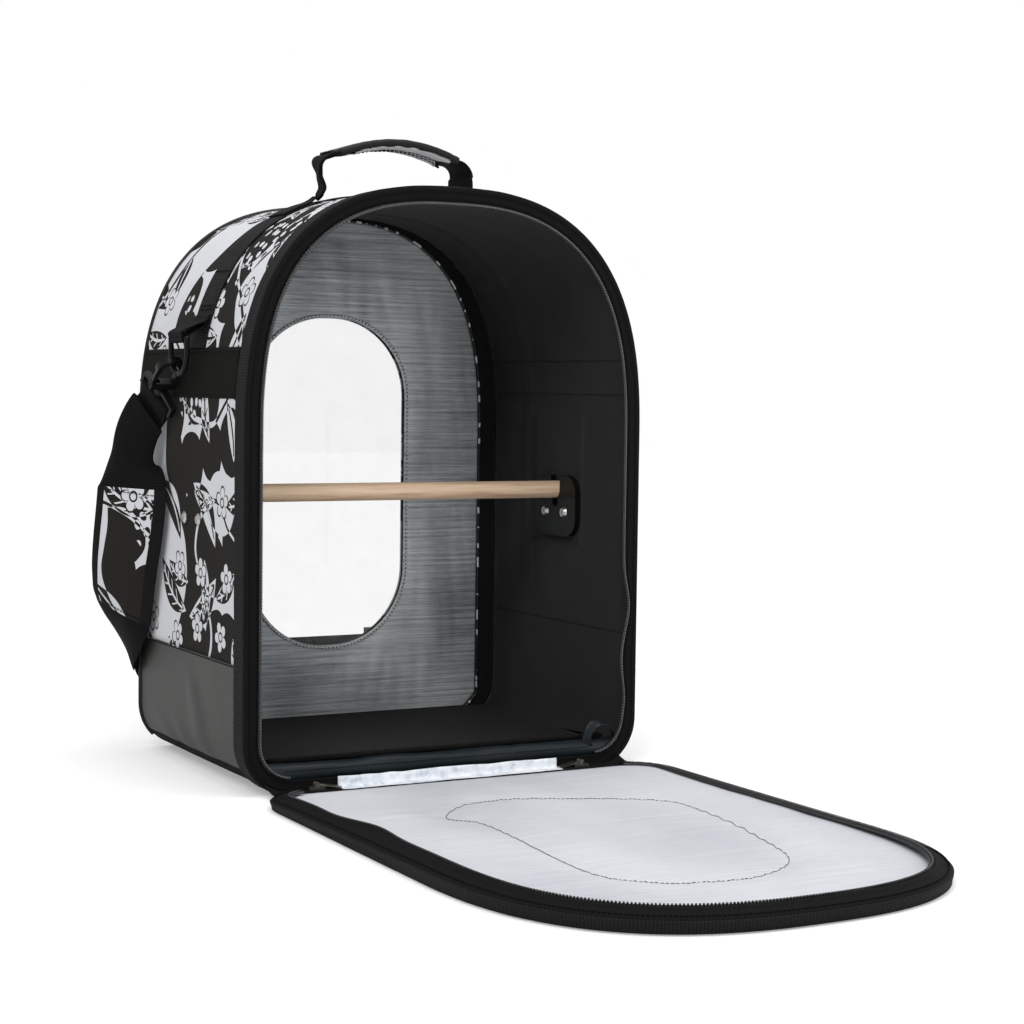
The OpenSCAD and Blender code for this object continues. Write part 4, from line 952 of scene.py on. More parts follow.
# door
door = {
    "foldY": -0.158, "foldZ": 0.0018, "floor": 0.0005, "full": 0.0268, "tape": 0.013, "spread": 0.003,
    # height of the rim at even steps round the door, as shares of the full height
    "share": [0.35, 0.35, 0.37, 0.40, 0.48, 0.54, 0.55, 0.57, 0.58, 0.63, 0.57, 0.48, 0.36],
    # line of the stitching on the lining, as (x, distance from the fold)
    "seam": [(-84, 133), (-34, 94), (30, 110), (98, 151), (106, 198), (89, 300), (66, 367), (20, 397),
             (-27, 394), (-57, 379), (-78, 350), (-79, 298), (-73, 230), (-72, 166)],
}


def laid(x, z, depth):
    # place on the open door of a point at height z of the shut one, at a depth behind its face
    return Vector((x, door["foldY"] - (z - door["foldZ"]), door["floor"] + depth))


def rimHeight(share):
    last = len(door["share"]) - 1
    k = min(int(share * last), last - 1)
    return door["full"] * min(1, through(door["share"], k, share * last - k))


doorStart = (body["half"] - body["cornerR"]) + body["cornerR"] * math.radians(15)
doorEnd = loopLength - doorStart


def closedLoop(points, count):
    # smooth closed curve through the points
    places = [i / count * len(points) for i in range(count)]
    return [through(points, int(v), v - int(v), ring=True) for v in places]


seamLine = [Vector((p.x / 1000, -p.y / 1000))
            for p in closedLoop([Vector((x, y, 0)) for x, y in door["seam"]], 420)]


def liningRise(x, y):
    # height of the door's lining over its board: slack swells, drawn down along the stitching, and puckers
    near = min((Vector((x, y - door["foldY"])) - p).length for p in seamLine[::6])
    swell = 0.0016 + 0.0022 * wobble(x, y, 0, 7, 4.0) + 0.0008 * wobble(x, y, 0, 22, 1.5)
    pucker = 0.0006 * wobble(x * 1.2, y * 1.2, 0, 48, 2.0) * math.exp(-near / 0.014)
    pucker *= min(1, near / 0.006 + 0.2)
    # cloth drawn in round the two near corners of the stitching
    for px, py, ax, ay in ((-0.084, -0.133, -0.9, 0.3), (-0.030, -0.095, 0.2, 1.0)):
        dx, dy = x - px, y - door["foldY"] - py
        along, aside = dx * ax + dy * ay, dx * ay - dy * ax
        pucker += 0.0016 * math.exp(-((along - 0.028) / 0.022) ** 2 - (aside / 0.008) ** 2)
        pucker -= 0.0012 * math.exp(-(dx * dx + dy * dy) / 0.00018)
    return max(swell * (1 - math.exp(-(near / 0.011) ** 1.2)) + pucker + 0.0004, 0.0001)


def addDoorPanels():
    half, spring, corner = body["half"], body["springZ"], body["cornerR"]
    start = 0.0042

    def grid(name, inset, where, finish, *nodes):
        # rows of points across the door, closer together towards the far end
        far = body["height"] - inset
        zs = steps(start, spring, 70)[:-1]
        zs += [spring + (far - spring) * math.sin(math.pi / 2 * i / 60) for i in range(60)] + [far - 1e-5]
        rows = []
        for z in zs:
            if z < corner:
                wide = half - corner + math.sqrt(max(corner ** 2 - (corner - z) ** 2, 0)) - inset
            elif z < spring:
                wide = half - inset
            else:
                up = (z - spring) / (far - spring)
                wide = (half - inset) * max(1 - up ** body["power"], 0) ** (1 / body["power"])
            rows.append([where(wide * u, z) for u in steps(-1, 1, 90)])
        obj = loft(name, rows, ring=False, thick=0.0008)
        flatten(obj.data, lambda co: (co.x + 1.3, co.y))
        finished(obj, finish, "door", *nodes)
        2 * (half - inset)

    grid("doorCover", 0.0008, lambda x, z: laid(x, z, 0.0006), "print", "door_cover")

    def loose(x, z):
        p = laid(x, z, 0.0046)
        p.z += liningRise(p.x, p.y) * ease((z - start) / 0.012)
        return p
    grid("doorLining", 0.0022, loose, "doorSilver", "door_lining")
    path = [Vector((p.x, p.y + door["foldY"], 0)) for p in seamLine + seamLine[:1]]
    for p in path:
        p.z = door["floor"] + 0.0046 + 0.0004 + liningRise(p.x, p.y)
    stitched("doorStitches", path, Vector((0, 0, 1)), "greyThread", "door", pitch=0.0036, length=0.0029, r=0.0003)


addDoorPanels()


def addDoorRim():
    count = 460
    runs = steps(doorStart, doorEnd, count)

    def rim(s, out, depth):
        x, z, nx, nz = onLoop(s)
        return laid(x + nx * out, z + nz * out, depth)

    def shape(s):
        share = (s - doorStart) / (doorEnd - doorStart)
        h = rimHeight(share)
        lean = door["spread"] * (1 - h / door["full"])
        # the rim rears up and curls in on the left, and runs in an S from there to the fold
        rear = bell(share, 0.835, 0.028)
        curl = 0.0040 * rear - 0.0026 * bell(share, 0.888, 0.022)
        return h + 0.0012 * rear, lean, 0.0012 + 0.014 * h / door["full"], door["tape"] - lean * 2 / 3 + curl

    band, tape = [], []
    for s in runs:
        h, lean, top, inner = shape(s)
        soft = 0.0005 * wobble(s, 0, 0, 18, 3.0)
        ridge = top * 0.93
        share = (s - doorStart) / (doorEnd - doorStart)
        raised = 0.0046 * bell(share, 0.835, 0.040)
        tip = 1 - ease(min(share, 1 - share) / 0.012)
        band.append([rim(s, o - 0.0040 * tip * (0.3 + d / 0.012), d * (1 - 0.45 * tip)) for o, d in (
            (-0.0019, 0.0004), (-0.0001, 0.0002), (0.0001, 0.0004 + raised * 0.9), (0.0008, 0.0009 + raised),
            (0.0003, 0.0019 + raised * 0.9),
            (lean * 0.35 + 0.0007 + soft, top * 0.4 + raised * 0.5),
            (lean * 0.8 + 0.0008 + soft, top * 0.75), (lean + 0.0005, ridge), (lean - 0.0005, top + 0.0003),
            (lean - 0.0019, top - 0.0002),
            (lean * 0.4 - 0.0019, top * 0.45))])
        tape.append([rim(s, o, d) for o, d in (
            (lean - 0.0002, top + 0.0001), (lean - 0.0012, top + 0.0009),
            (lean - 0.0032, top + (h - top) * 0.30 + 0.0004),
            (lean - 0.0036, top + (h - top) * 0.30 - 0.0003), (-inner * 0.66, top + (h - top) * 0.66 + 0.0005),
            (-inner * 0.70, top + (h - top) * 0.74 + 0.0008), (-inner, h - 0.0002), (-inner, h - 0.0014),
            (-inner * 0.5, top + (h - top) * 0.5 - 0.0012), (lean - 0.0020, top - 0.0012))])
    finished(loft("doorBinding", band, us=runs), "binding", "door", "door_binding")
    finished(loft("doorZipTape", tape, us=runs), "tape", "door", "door_zip_tape")
    path, ups = [], []
    for s in runs:
        h, lean, top, inner = shape(s)
        path.append(rim(s, lean - 0.0030, top + (h - top) * 0.30 + 0.0005))
        x, z, nx, nz = onLoop(s)
        ups.append((laid(nx, nz, 1) - laid(0, 0, 0)).normalized())
    stitched("rimStitches", path, ups, "thread", "door", pitch=0.0034, length=0.0024)

    def coil(s, o, d):
        h, lean, top, inner = shape(s)
        return rim(s, -inner - 0.0016 + o, h - 0.0012 + d)
    coilRuns = steps(doorStart, doorEnd, int((doorEnd - doorStart) / front["tooth"]) * 4)
    finished(loft("doorZipCoil", toothed(coilRuns, coil), us=coilRuns), "coil", "door", "door_zip_coil")
    # separate teeth along its top
    path = []
    for s in runs:
        h, lean, top, inner = shape(s)
        path.append(rim(s, -inner - 0.0012, h + 0.0001))
    stitched("doorTeeth", path, ups, "coil", "door", pitch=front["tooth"], length=0.0013, r=0.0008, lift=0.0)


addDoorRim()

fold = {"half": 0.104, "dark": 0.1345, "front": -0.1335, "r": 0.00125}


def addFold():
    # cloth in the fold, gathered a little: pale in the middle, where it climbs the front edge, dark at the ends
    def strip(name, x0, x1, finish, climb, node):
        rows = []
        for x in steps(x0, x1, max(int((x1 - x0) / 0.0022), 8)):
            wave = 0.0012 * wobble(x, 0, 0, 34, 6.0) + 0.0007 * wobble(x, 0, 0, 90, 2.0)
            tuck = 0.6 + 0.5 * wobble(x, 0.3, 0, 14, 1.0)
            top = climb - 0.0004 + 0.0011 * wobble(x, 0.7, 0, 19, 3.0) + 0.0006 * wobble(x, 0.2, 0, 70, 5.0)
            bow = 0.0007 + 0.0011 * wobble(x, 0.5, 0, 34, 4.0) + 0.0004 * wobble(x, 0.5, 0, 110, 1.0)
            row = []
            if climb:
                row += [Vector((x, -0.1328, top)), Vector((x, -0.1336 - bow * 0.4, top + 0.0002)),
                        Vector((x, -0.1340 - bow, top * 0.75)),
                        Vector((x, -0.1339 - bow, top * 0.52)), Vector((x, -0.1348 - bow, 0.0044)),
                        Vector((x, -0.1366, 0.0036))]
            for k in range(15):
                # over the top from the front edge to the fold and round its end
                if k < 9:
                    v = k / 8
                    if climb and v < 0.2:
                        continue
                    y = fold["front"] + (door["foldY"] - fold["front"]) * v
                    swell = math.sin(math.pi * min(1, v / 0.72))
                    hump = swell * 0.0011 * tuck + wave * swell
                    crease = 0.0006 * bell(v - 0.62 - 0.6 * wobble(x, 0.1, 0, 8, 3.0), 0, 0.08)
                    row.append(Vector((x, y, door["foldZ"] + fold["r"] + hump - crease)))
                else:
                    a = math.pi / 2 + math.pi * (k - 8) / 6
                    row.append(Vector((x, door["foldY"] + fold["r"] * math.cos(a),
                                       door["foldZ"] + fold["r"] * math.sin(a))))
            row.append(Vector((x, fold["front"], door["foldZ"] - fold["r"])))
            if climb:
                row += [Vector((x, -0.1328, 0.0014)), Vector((x, -0.1328, top * 0.6))]
            rows.append(row)
        return finished(loft(name, rows), finish, "cabin", *node)

    # dark gusset at each corner, from the cabin's front edge out to the edge of the open door
    def gusset(side, label):
        r, mid = body["cornerR"], body["half"] - body["cornerR"]
        rows = []
        for x in steps(fold["dark"] - 0.003, fold["dark"] + 0.034, 26):
            up = r - math.sqrt(max(r * r - max(x - mid, 0) ** 2, 0))
            back = Vector((side * x, -0.1327, max(up + 0.0012, 0.0030)))
            tip = Vector((side * x, door["foldY"] - max(up - door["foldZ"], 0) - 0.0002,
                          max(0.0026, min(up, 0.0050))))
            row = []
            for v in steps(0, 1, 12):
                p = back.lerp(tip, v)
                sag = 0.3 * (back.z - 0.002) + 0.0006 * wobble(x, v * 0.1, 0, 60, 2.0)
                p.z = max(p.z - math.sin(math.pi * v) * sag, 0.0018)
                row.append(p)
            rows.append(row)
        piece = loft("foldGusset" + label, rows, ring=False, thick=0.0012)
        dress(piece, "seamCloth")
        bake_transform(piece)

    strip("foldStrip", -fold["half"], fold["half"], "strip", 0.0122, ["fold_strip"])
    strip("foldFlapLeft", -fold["dark"], -fold["half"] - 0.0002, "seamCloth", 0, ["fold_flaps"])
    strip("foldFlapRight", fold["half"] + 0.0002, fold["dark"], "seamCloth", 0, ["fold_flaps"])
    gusset(-1, "Left")
    gusset(1, "Right")
    for x in (-fold["half"] - 0.002, fold["half"] + 0.002):
        path = [Vector((x, y, 0.0034)) for y in steps(-0.1515, -0.136, 12)]
        stitched("flapStitches" + ("Left" if x < 0 else "Right"), path, Vector((0, 0, 1)), "greyThread",
                 "cabin", r=0.0003)
    # dark cord along the door lining's edge at the fold: painted shade for the shadow gap between it and the
    # strip
    rows = []
    for x in steps(-0.131, 0.131, 120):
        y, z = -0.1607 - 0.0005 * wobble(x, 0, 0, 16, 2.0), 0.0060 + 0.0004 * wobble(x, 0, 0, 30, 7.0)
        rows.append([Vector((x, y + 0.0006 * math.cos(a), z + 0.0006 * math.sin(a))) for a in turns(8)])
    finished(loft("liningShadowCord", rows), "seamCloth", "door")


addFold()
print("door done")

# cabin inside
lining = {
    "front": -0.1306, "rear": 0.1240, "off": -0.0057, "seams": {"Low": 0.117, "Mid": 0.330, "High": 0.360},
    "rows": (0.052, 0.060),  # seams across the arch
}


def addLining():
    # dark lining of the tunnel, slack between seams that are sewn through it
    ys = steps(lining["front"], lining["rear"], 56)
    runs = steps(0, loopLength, 380)[:-1]
    seams = [runAt(z) for z in lining["seams"].values()]
    seams += [loopLength - s for s in seams]

    def rise(s, y):
        near = min(abs(s - q) for q in seams)
        nearY = min(abs(y - q) for q in lining["rows"])
        draw = 1 - 0.85 * bell(near, 0, 0.006) - 0.6 * bell(nearY, 0, 0.004) * (0.2 < s / loopLength < 0.8)
        edge = min(1, (y - lining["front"]) / 0.01, (lining["rear"] - y) / 0.012)
        x, z, nx, nz = onLoop(s)
        if z < 0.02:
            return 0.0002
        slack = 0.0014 + 0.0012 * wobble(x, y, z, 9, 2.0) + 0.0005 * wobble(x, y, z, 30, 5.0)
        if abs(y) < 0.045 and 0.19 < z < 0.31:
            slack *= 0.15
        return max(slack * max(draw, 0.05) * edge, 0.0001)
    rows = [[cabinPoint(s, lining["off"] - rise(s, y), y) for y in ys] for s in runs]
    obj = loft("tunnelLining", rows, ring=False, closed=True, us=runs + [loopLength], vs=ys, thick=0.0006)
    finished(obj, "lining", "cabin", "wall_lining")
    for label, height in lining["seams"].items():
        for side, sideLabel in bothSides:
            s = onSide(side, runAt(height))
            x, z, nx, nz = onLoop(s)
            path = [cabinPoint(s, lining["off"] - rise(s, y) - 0.0003, y) for y in steps(-0.126, 0.120, 90)]
            stitched("liningStitches" + label + sideLabel, path, Vector((-nx, 0, -nz)), "thread",
                     "cabin", r=0.0003)


addLining()

liner = {
    "half": 0.1788, "top": 0.016, "rollY": -0.1198, "rollZ": 0.015, "rollR": 0.009,
    "matHalf": 0.1655, "matT": 0.0036, "matSlope": 17, "matCorner": 0.016, "matFront": -0.1206,
}


def addFloor():
    # padded liner: a crowned slab whose front edge is a soft roll of shiny nylon
    rows = []
    for x in steps(-liner["half"], liner["half"], 150):
        edge = abs(x) - (body["half"] - body["cornerR"])
        rr = body["cornerR"] - 0.0061
        low = body["cornerR"] - math.sqrt(max(rr * rr - max(edge, 0) ** 2, 0)) if edge > 0 else 0.0061
        puff = 0.0007 * wobble(x, 0, 0, 26, 8.0) + 0.0004 * wobble(x, 0, 0, 70, 3.0)
        row = []
        for i in range(17):
            a = math.radians(-60 + 245 * i / 16)
            r = liner["rollR"] * (0.97 + 0.035 * math.sin(a * 3 + x * 60)) + puff * max(math.sin(a), 0)
            row.append(Vector((x, liner["rollY"] - r * math.sin(math.radians(90) - a),
                               liner["rollZ"] + r * math.sin(a))))
        row = [Vector((p.x, max(p.y, -0.1304), max(p.z, low))) for p in row]
        row += [Vector((x, -0.1105, max(liner["top"] - 0.0006, low))),
                Vector((x, -0.05, max(liner["top"] - 0.0003, low))),
                Vector((x, 0.04, max(liner["top"] - 0.0003, low))),
                Vector((x, 0.1205, max(liner["top"] - 0.0010, low))),
                Vector((x, 0.1215, low)), Vector((x, 0, low)), Vector((x, -0.112, low))]
        rows.append(row)
    obj = finished(loft("floorLiner", rows), "nylon", "cabin", "floor_liner")
    path = [Vector((x, -0.1287, 0.0183)) for x in steps(-0.150, 0.140, 140)]
    stitched("rollStitches", path, Vector((0, -0.9, 0.42)), "thread", "cabin", r=0.0003)

    # loose mat: covered board with a rolled edge, bent up over the roll in front
    slope = math.tan(math.radians(liner["matSlope"]))
    top = liner["rollZ"] + (liner["rollR"] + 0.0003) / math.cos(math.radians(liner["matSlope"]))
    z0 = liner["top"] + 0.0003
    ramp = liner["rollY"] + (top - z0) / slope
    t = liner["matT"]

    def base(y):
        return z0 + 0.0001 + max(0.0, (ramp - y) * slope) if y < ramp + 0.004 else z0 + 0.0001
    rows = []
    half = liner["matHalf"]
    for u in steps(-1, 1, 96):
        x = u * half
        side = min(1, (half - abs(x)) / 0.0016 + 0.35) if abs(u) > 0.97 else 1
        # the front corners are rounded off
        cut = liner["matCorner"]
        corner = cut - math.sqrt(max(cut ** 2 - max(abs(x) - half + cut, 0) ** 2, 0))
        row = []
        ys = [0.1204 - 0.0015 * (1 - side)] + steps(0.119, ramp, 12)
        ys += steps(ramp - 0.004, liner["rollY"] - 0.0002, 9)
        frontY = liner["matFront"] + corner * 0.9 + 0.0020 * wobble(x, 0, 0, 13,
                                                                    4.0) + 0.0009 * wobble(x, 0, 0, 60, 1.0)
        lift = 0.0008 * wobble(x, 0.4, 0, 24, 2.0) + 0.0006 * max(wobble(x, 0.9, 0, 60, 5.0), 0)
        ys = [max(y, frontY + 0.0006) for y in ys]
        for y in ys:
            row.append(Vector((x, y, base(y) + t * side - 0.0002 + 0.0003 * wobble(x, y, 0, 20))))
        row.append(Vector((x, frontY + 0.0003, base(frontY) + t * 0.85 * side + lift)))
        row.append(Vector((x, frontY, base(frontY) + t * 0.5 + lift)))
        row.append(Vector((x, frontY + 0.0003, base(frontY) + t * 0.15 + max(lift, 0))))
        for y in reversed(ys):
            row.append(Vector((x, y, base(y) + t * 0.5 * (1 - side))))
        rows.append(row)
    finished(loft("floorMat", rows), "mat", "mat", "floor_mat")
    for label, y in (("Front", -0.1165), ("Rear", 0.1155)):
        path = [Vector((x, y, base(y) + t + 0.0001)) for x in steps(-half + 0.005, half - 0.005, 120)]
        stitched("matStitches" + label, path, Vector((0, 0, 1)), "thread", "mat", r=0.0003)


addFloor()


pull = {"x": 0.155, "z": 0.024, "y": -0.1288, "wide": 0.0072, "r": 0.0121, "thick": 0.0007}


def addPullLoop():
    # crumpled loop of nylon tape at the right front corner
    wide = pull["wide"]
    rows = []
    for i in range(61):
        a = math.radians(-24 + 228 * i / 60)
        r = pull["r"] + 0.0007 * wobble(math.cos(a), math.sin(a), 0, 2.6, 4.0)
        px, pz = pull["x"] + r * math.cos(a), pull["z"] + r * math.sin(a)
        nx, nz = math.cos(a), math.sin(a)
        row = []
        # the tape is turned to face forwards on its left and twists back on the right
        twist = math.radians(8 + 50 * ease((math.degrees(a) - 40) / 120))
        for v, d in ((0.0, 0.3), (0.08, 0.7), (0.3, 0.75), (0.5, 0.55), (0.7, 0.75), (0.92, 0.7), (1, 0.3),
                     (0.92, -0.3), (0.5, -0.55), (0.08, -0.3)):
            bend = 0.0004 * math.sin(a * 5 + v * 4) + wide * 1.15 * v * math.sin(twist)
            off = d * pull["thick"] + bend
            row.append(Vector((px + nx * off, pull["y"] + wide * v * math.cos(twist), pz + nz * off)))
        rows.append(row)
    finished(loft("pullLoop", rows), "nylon", "cabin", "pull_loop")


addPullLoop()
print("inside done")

# webbing on the cabin
bands = {
    "low": 0.322, "high": 0.364, "front": -0.1074, "rear": 0.1270, "tacks": (0.396, 0.4005, 0.430),
    "tackHalf": 0.0165,
    # section of webbing with soft edges, as shares of its width and thickness
    "section": ((-0.5, 0.0), (-0.49, 0.38), (-0.46, 0.5), (-0.3, 0.47), (0, 0.45), (0.3, 0.47),
                (0.46, 0.5), (0.49, 0.38), (0.5, 0.0), (0.49, -0.38), (0.46, -0.5), (0, -0.46), (-0.46, -0.5),
                (-0.49, -0.38)),
}


def webbingBand(name, path, outs, wide, sides, thick=0.0015, finish="web", bodyName="cabin", stands=()):
    # flat webbing with soft edges: a path, the directions outwards and across, its width and thickness
    outs, sides = ([v] * len(path) if isinstance(v, Vector) else v for v in (outs, sides))
    rows = []
    for i, (p, out, across) in enumerate(zip(path, outs, sides)):
        w = wide[i] if isinstance(wide, list) else wide
        rows.append([p + across * v * w + out * (d * thick) for v, d in bands["section"]])
    return finished(loft(name, rows), finish, bodyName, *stands)


def addBands():
    for side, label in bothSides:
        runs = steps(runAt(bands["low"]), runAt(bands["high"]), 22)
        rows = []
        for q in runs:
            s = onSide(side, q)
            x, z, nx, nz = onLoop(s)
            edge = min(1, (q - runs[0]) / 0.0009, (runs[-1] - q) / 0.0009)
            row = []
            for y in steps(bands["front"], bands["rear"], 40):
                off = 0.0002 + 0.0012 * math.sqrt(max(edge, 0.02)) + 0.0003 * wobble(x, y, z, 20)
                row.append(Vector((x + nx * off, y, z + nz * off)))
            rows.append(row)
        obj = loft("sideBand" + label, rows, ring=False, thick=0.0004)
        finished(obj, "band", "cabin", "side_band_" + label.lower())
        for z, part in ((bands["low"] + 0.003, "Low"), (bands["high"] - 0.003, "High")):
            s = onSide(side, runAt(z))
            x, z2, nx, nz = onLoop(s)
            path = [Vector((x + nx * 0.0015, y, z2 + nz * 0.0015)) for y in steps(-0.106, 0.126, 90)]
            stitched("bandStitches" + part + label, path, Vector((nx, 0, nz)), "thread", "cabin")
    # webbing over the top
    start = runAt(0.3645)
    runs = steps(start, loopLength - start, 260)
    path = [cabinPoint(s, 0.0009, body["webbingY"]) for s in runs]
    outs = [Vector((onLoop(s)[2], 0, onLoop(s)[3])) for s in runs]
    webbingBand("topWebbing", path, outs, body["webbing"], Vector((0, 1, 0)), body["bandT"], "ribWeb",
                stands=["top_webbing"])
    # rows of stitches that hold the webbing above each ring
    for side, label in bothSides:
        for k, up in enumerate(bands["tacks"]):
            s = onSide(side, runAt(up))
            x, z, nx, nz = onLoop(s)
            line = [Vector((x + nx * 0.0017, body["webbingY"] + w, z + nz * 0.0017))
                    for w in steps(-bands["tackHalf"], bands["tackHalf"], 14)]
            stitched("tackStitches%s%d" % (label, k), line, Vector((nx, 0, nz)), "thread", "cabin", pitch=0.0026,
                     length=0.0018)


addBands()

fitting = {
    "ringX": 0.1975, "barZ": 0.372, "bowZ": 0.362, "axisX": 0.1989, "lean": 52.0, "collarR": 0.0502,
    "eyeR": 0.0642,
    "turn": 68.0, "tail": 0.015,
}


def addRingTabs():
    # webbing folded over the bar of each D-ring and laid back on the wall
    for side, label in bothSides:
        high = onLoop(runAt(0.391))
        low = onLoop(runAt(0.384))
        cx, cz, r = fitting["ringX"], fitting["barZ"], 0.0031
        pts = [(high[0] + 0.0019, 0.3925), (high[0] + 0.0030, 0.3902), (high[0] + 0.0062, 0.3868),
               (cx + 0.0020, 0.3785)]
        pts += [(cx + r * math.cos(a), cz + r * math.sin(a))
                for a in (math.radians(24 - 214 * i / 14) for i in range(15))]
        pts += [(cx - 0.0038, 0.3755), (low[0] + 0.0052, 0.3825), (low[0] + 0.0032, 0.3865),
                (high[0] + 0.0023, 0.3895)]
        pts = [Vector((x, z, 0)) for x, z in pts]
        dense = [through(pts, i, u) for i in range(len(pts) - 1) for u in (0, 0.25, 0.5, 0.75)]
        path = [Vector((side * p.x, body["webbingY"], p.y)) for p in dense]
        webbingBand("ringTab" + label, path, outwards(path), 0.034, Vector((0, 1, 0)), body["bandT"], "strapWeb",
                    stands=["ring_tab_" + label.lower()])


addRingTabs()

grab = {"leg": 0.070, "r": 0.013, "crown": 0.548, "bow": 0.012, "thick": 0.003, "disc": 0.019}


def surfaceZ(x):
    rise = body["height"] - body["springZ"]
    return body["springZ"] + rise * (1 - (abs(x) / body["half"]) ** body["power"]) ** (1 / body["power"])


def addHandle():
    axisZ = surfaceZ(grab["leg"] - grab["thick"] / 2) + body["webbingT"] + 0.0003 + grab["disc"]
    z0 = grab["crown"] - grab["bow"] - grab["r"]
    span = grab["leg"] - grab["r"]
    halfPath = [Vector((grab["leg"], 0, axisZ + (z0 - axisZ) * t)) for t in steps(0, 1, 10)]
    halfPath += [Vector((span + grab["r"] * math.cos(math.radians(a)), 0,
                         z0 + grab["r"] * math.sin(math.radians(a)))) for a in range(10, 86, 10)]
    first = len(halfPath)
    line = halfPath + [Vector((span * (1 - 2 * t), 0, grab["crown"] - grab["bow"] * (1 - 2 * t) ** 2))
                       for t in steps(0, 1, 40)]
    last = len(line) - 1
    line += [Vector((-p.x, 0, p.z)) for p in reversed(halfPath)]
    feet = [Vector((grab["leg"], 0, axisZ - grab["disc"] * t)) for t in steps(0.995, 0.1, 9)]
    line = feet + line + [Vector((-p.x, 0, p.z)) for p in reversed(feet)]
    first, last = first + len(feet), last + len(feet)
    # the left leg is folded lengthwise and turned a little, the right one turned the other way
    wides, sides, bulk = [], [], []
    for p in line:
        down = max(axisZ - p.z, 0)
        w = 2 * math.sqrt(max(grab["disc"] ** 2 - down ** 2, 1e-7)) if down > 0 else body["webbing"]
        leg = ease((grab["crown"] - grab["bow"] - p.z) / 0.020)
        low = ease((p.z - axisZ + 0.018) / 0.022)
        tuck = leg * (0.62 if p.x < 0 else 0.03) * (0.62 + 0.38 * low)
        turn = math.radians((-15 if p.x < 0 else 8) * leg * low)
        wides.append(w * (1 - tuck))
        sides.append(Vector((math.sin(-turn), math.cos(turn), 0)))
        bulk.append(1 + (0.7 * leg * low if p.x < 0 else 0))
    # the left leg leans: its top falls outwards and its foot swells inwards before it tapers to the webbing
    heights, shifts = [0, 0.004, 0.011, 0.022, 0.035, 0.046], [-0.0016, 0.0006, 0.0034, 0.0006, -0.0022, -0.0030]
    for p in line:
        up = p.z - (axisZ - grab["disc"])
        if p.x < -span:
            k = min(max(sum(1 for h in heights if h <= up) - 1, 0), 4)
            t = min(max((up - heights[k]) / (heights[k + 1] - heights[k]), 0), 1)
            p.x += (shifts[k] + (shifts[k + 1] - shifts[k]) * ease(t)) * ease((-span - p.x) / 0.006)
        elif p.z < z0:
            p.x -= 0.0006 + 0.0006 * math.sin((p.z - axisZ) * 160)
    outs = outwards(line)
    path = [p + Vector((0, body["webbingY"], 0)) for p in line]
    webbingBand("handleWebbing", path, [n * k for n, k in zip(outs, bulk)], wides, sides, grab["thick"] - 0.0006,
                "web", "handle",
                ["handle_webbing"])
    # two rows of stitches up the right leg
    picked = range(3, first - 3)
    for e, label in ((-1, "Front"), (1, "Rear")):
        pts = [path[i] + sides[i] * (e * 0.36 * wides[i]) + outs[i] * 0.0013 * bulk[i] for i in picked]
        stitched("handleStitchesRight" + label, pts, [outs[i] for i in picked], "thread", "handle")
    # vinyl sleeve folded round the grip; the two lips of its pale lining nearly meet underneath
    w = body["webbing"] / 2
    last += 2
    section = [(-w + 0.0045, -0.0030), (-w - 0.0006, -0.0034), (-w - 0.0019, -0.0024), (-w - 0.0020, 0.0),
               (-w - 0.0016, 0.0024),
               (-w + 0.0006, 0.0034), (-w * 0.5, 0.0033), (0, 0.0035), (w * 0.5, 0.0033), (w - 0.0006, 0.0034),
               (w + 0.0016, 0.0024),
               (w + 0.0020, 0.0), (w + 0.0019, -0.0024), (w + 0.0006, -0.0034), (w - 0.0045, -0.0030),
               (w - 0.0042, -0.0022), (w + 0.0002, -0.0022), (w + 0.0006, 0.0), (w - 0.001, 0.0017), (0, 0.0018),
               (-w + 0.001, 0.0017), (-w - 0.0006, 0.0), (-w - 0.0002, -0.0022), (-w + 0.0042, -0.0022)]
    rows, edges, seams = [], ([], []), ([], [])
    for i in range(first, last + 1):
        share = (i - first) / (last - first)
        crumple = 0.0006 * max(0, 1 - min(share, 1 - share) / 0.08) * math.sin(share * 900)
        lip = 0.35 + 0.65 * ease(min(share, 1 - share) / 0.12)
        narrow = wides[i] / body["webbing"] if share > 0.9 else 1
        row = []
        for y, d in section:
            wrinkle = 0.0004 * wobble(share * 3, y * 20, d * 60, 5) + crumple
            inward = y if d > -0.0022 or abs(y) > w else math.copysign(w - (w - abs(y)) * lip, y)
            shut = 1 - 0.42 * ease((share - 0.93) / 0.07)
            high = d * (2.2 - 1.2 * narrow) * (0.4 + 0.6 * shut) + wrinkle
            row.append(path[i] + sides[i] * inward * shut * (0.25 + 0.75 * narrow) + outs[i] * high)
        rows.append(row)
        for k, e in enumerate((-1, 1)):
            reach = 0.002 + 0.0158 * ease(min(share - 0.02, 0.93 - share) / 0.09)
            reach += 0.0007 * wobble(share * 26, k * 5.0, 0.0, 1)
            sag = 0.0009 + 0.0006 * wobble(share * 14, k * 3.0, 0.5, 1)
            edges[k].append([path[i] + Vector((0, e * (w - a), 0)) + outs[i] * b for a, b in
                             ((-0.0012, -0.0030), (0.0020, -0.0040), (reach * 0.5, -0.0041 - sag),
                              (reach, -0.0037 - sag * 0.4),
                              (reach, -0.0031 - sag * 0.4), (reach * 0.5, -0.0035 - sag), (0.0020, -0.0034),
                              (-0.0008, -0.0026))])
            seams[k].append(path[i] + Vector((0, e * (w - reach + 0.0028), 0)) - outs[i] * (0.0041 + sag * 0.6))
    finished(loft("gripSleeve", rows), "grip", "handle", "handle_grip")
    for k, label in ((0, "Front"), (1, "Rear")):
        finished(loft("gripLining" + label, edges[k][2:-7]), "lip", "handle")
        stitched("gripStitches" + label, seams[k][3:-8], [-outs[i] for i in range(first + 3, last - 7)],
                 "thread", "handle",
                 pitch=0.0042, length=0.003, r=0.0005)


addHandle()


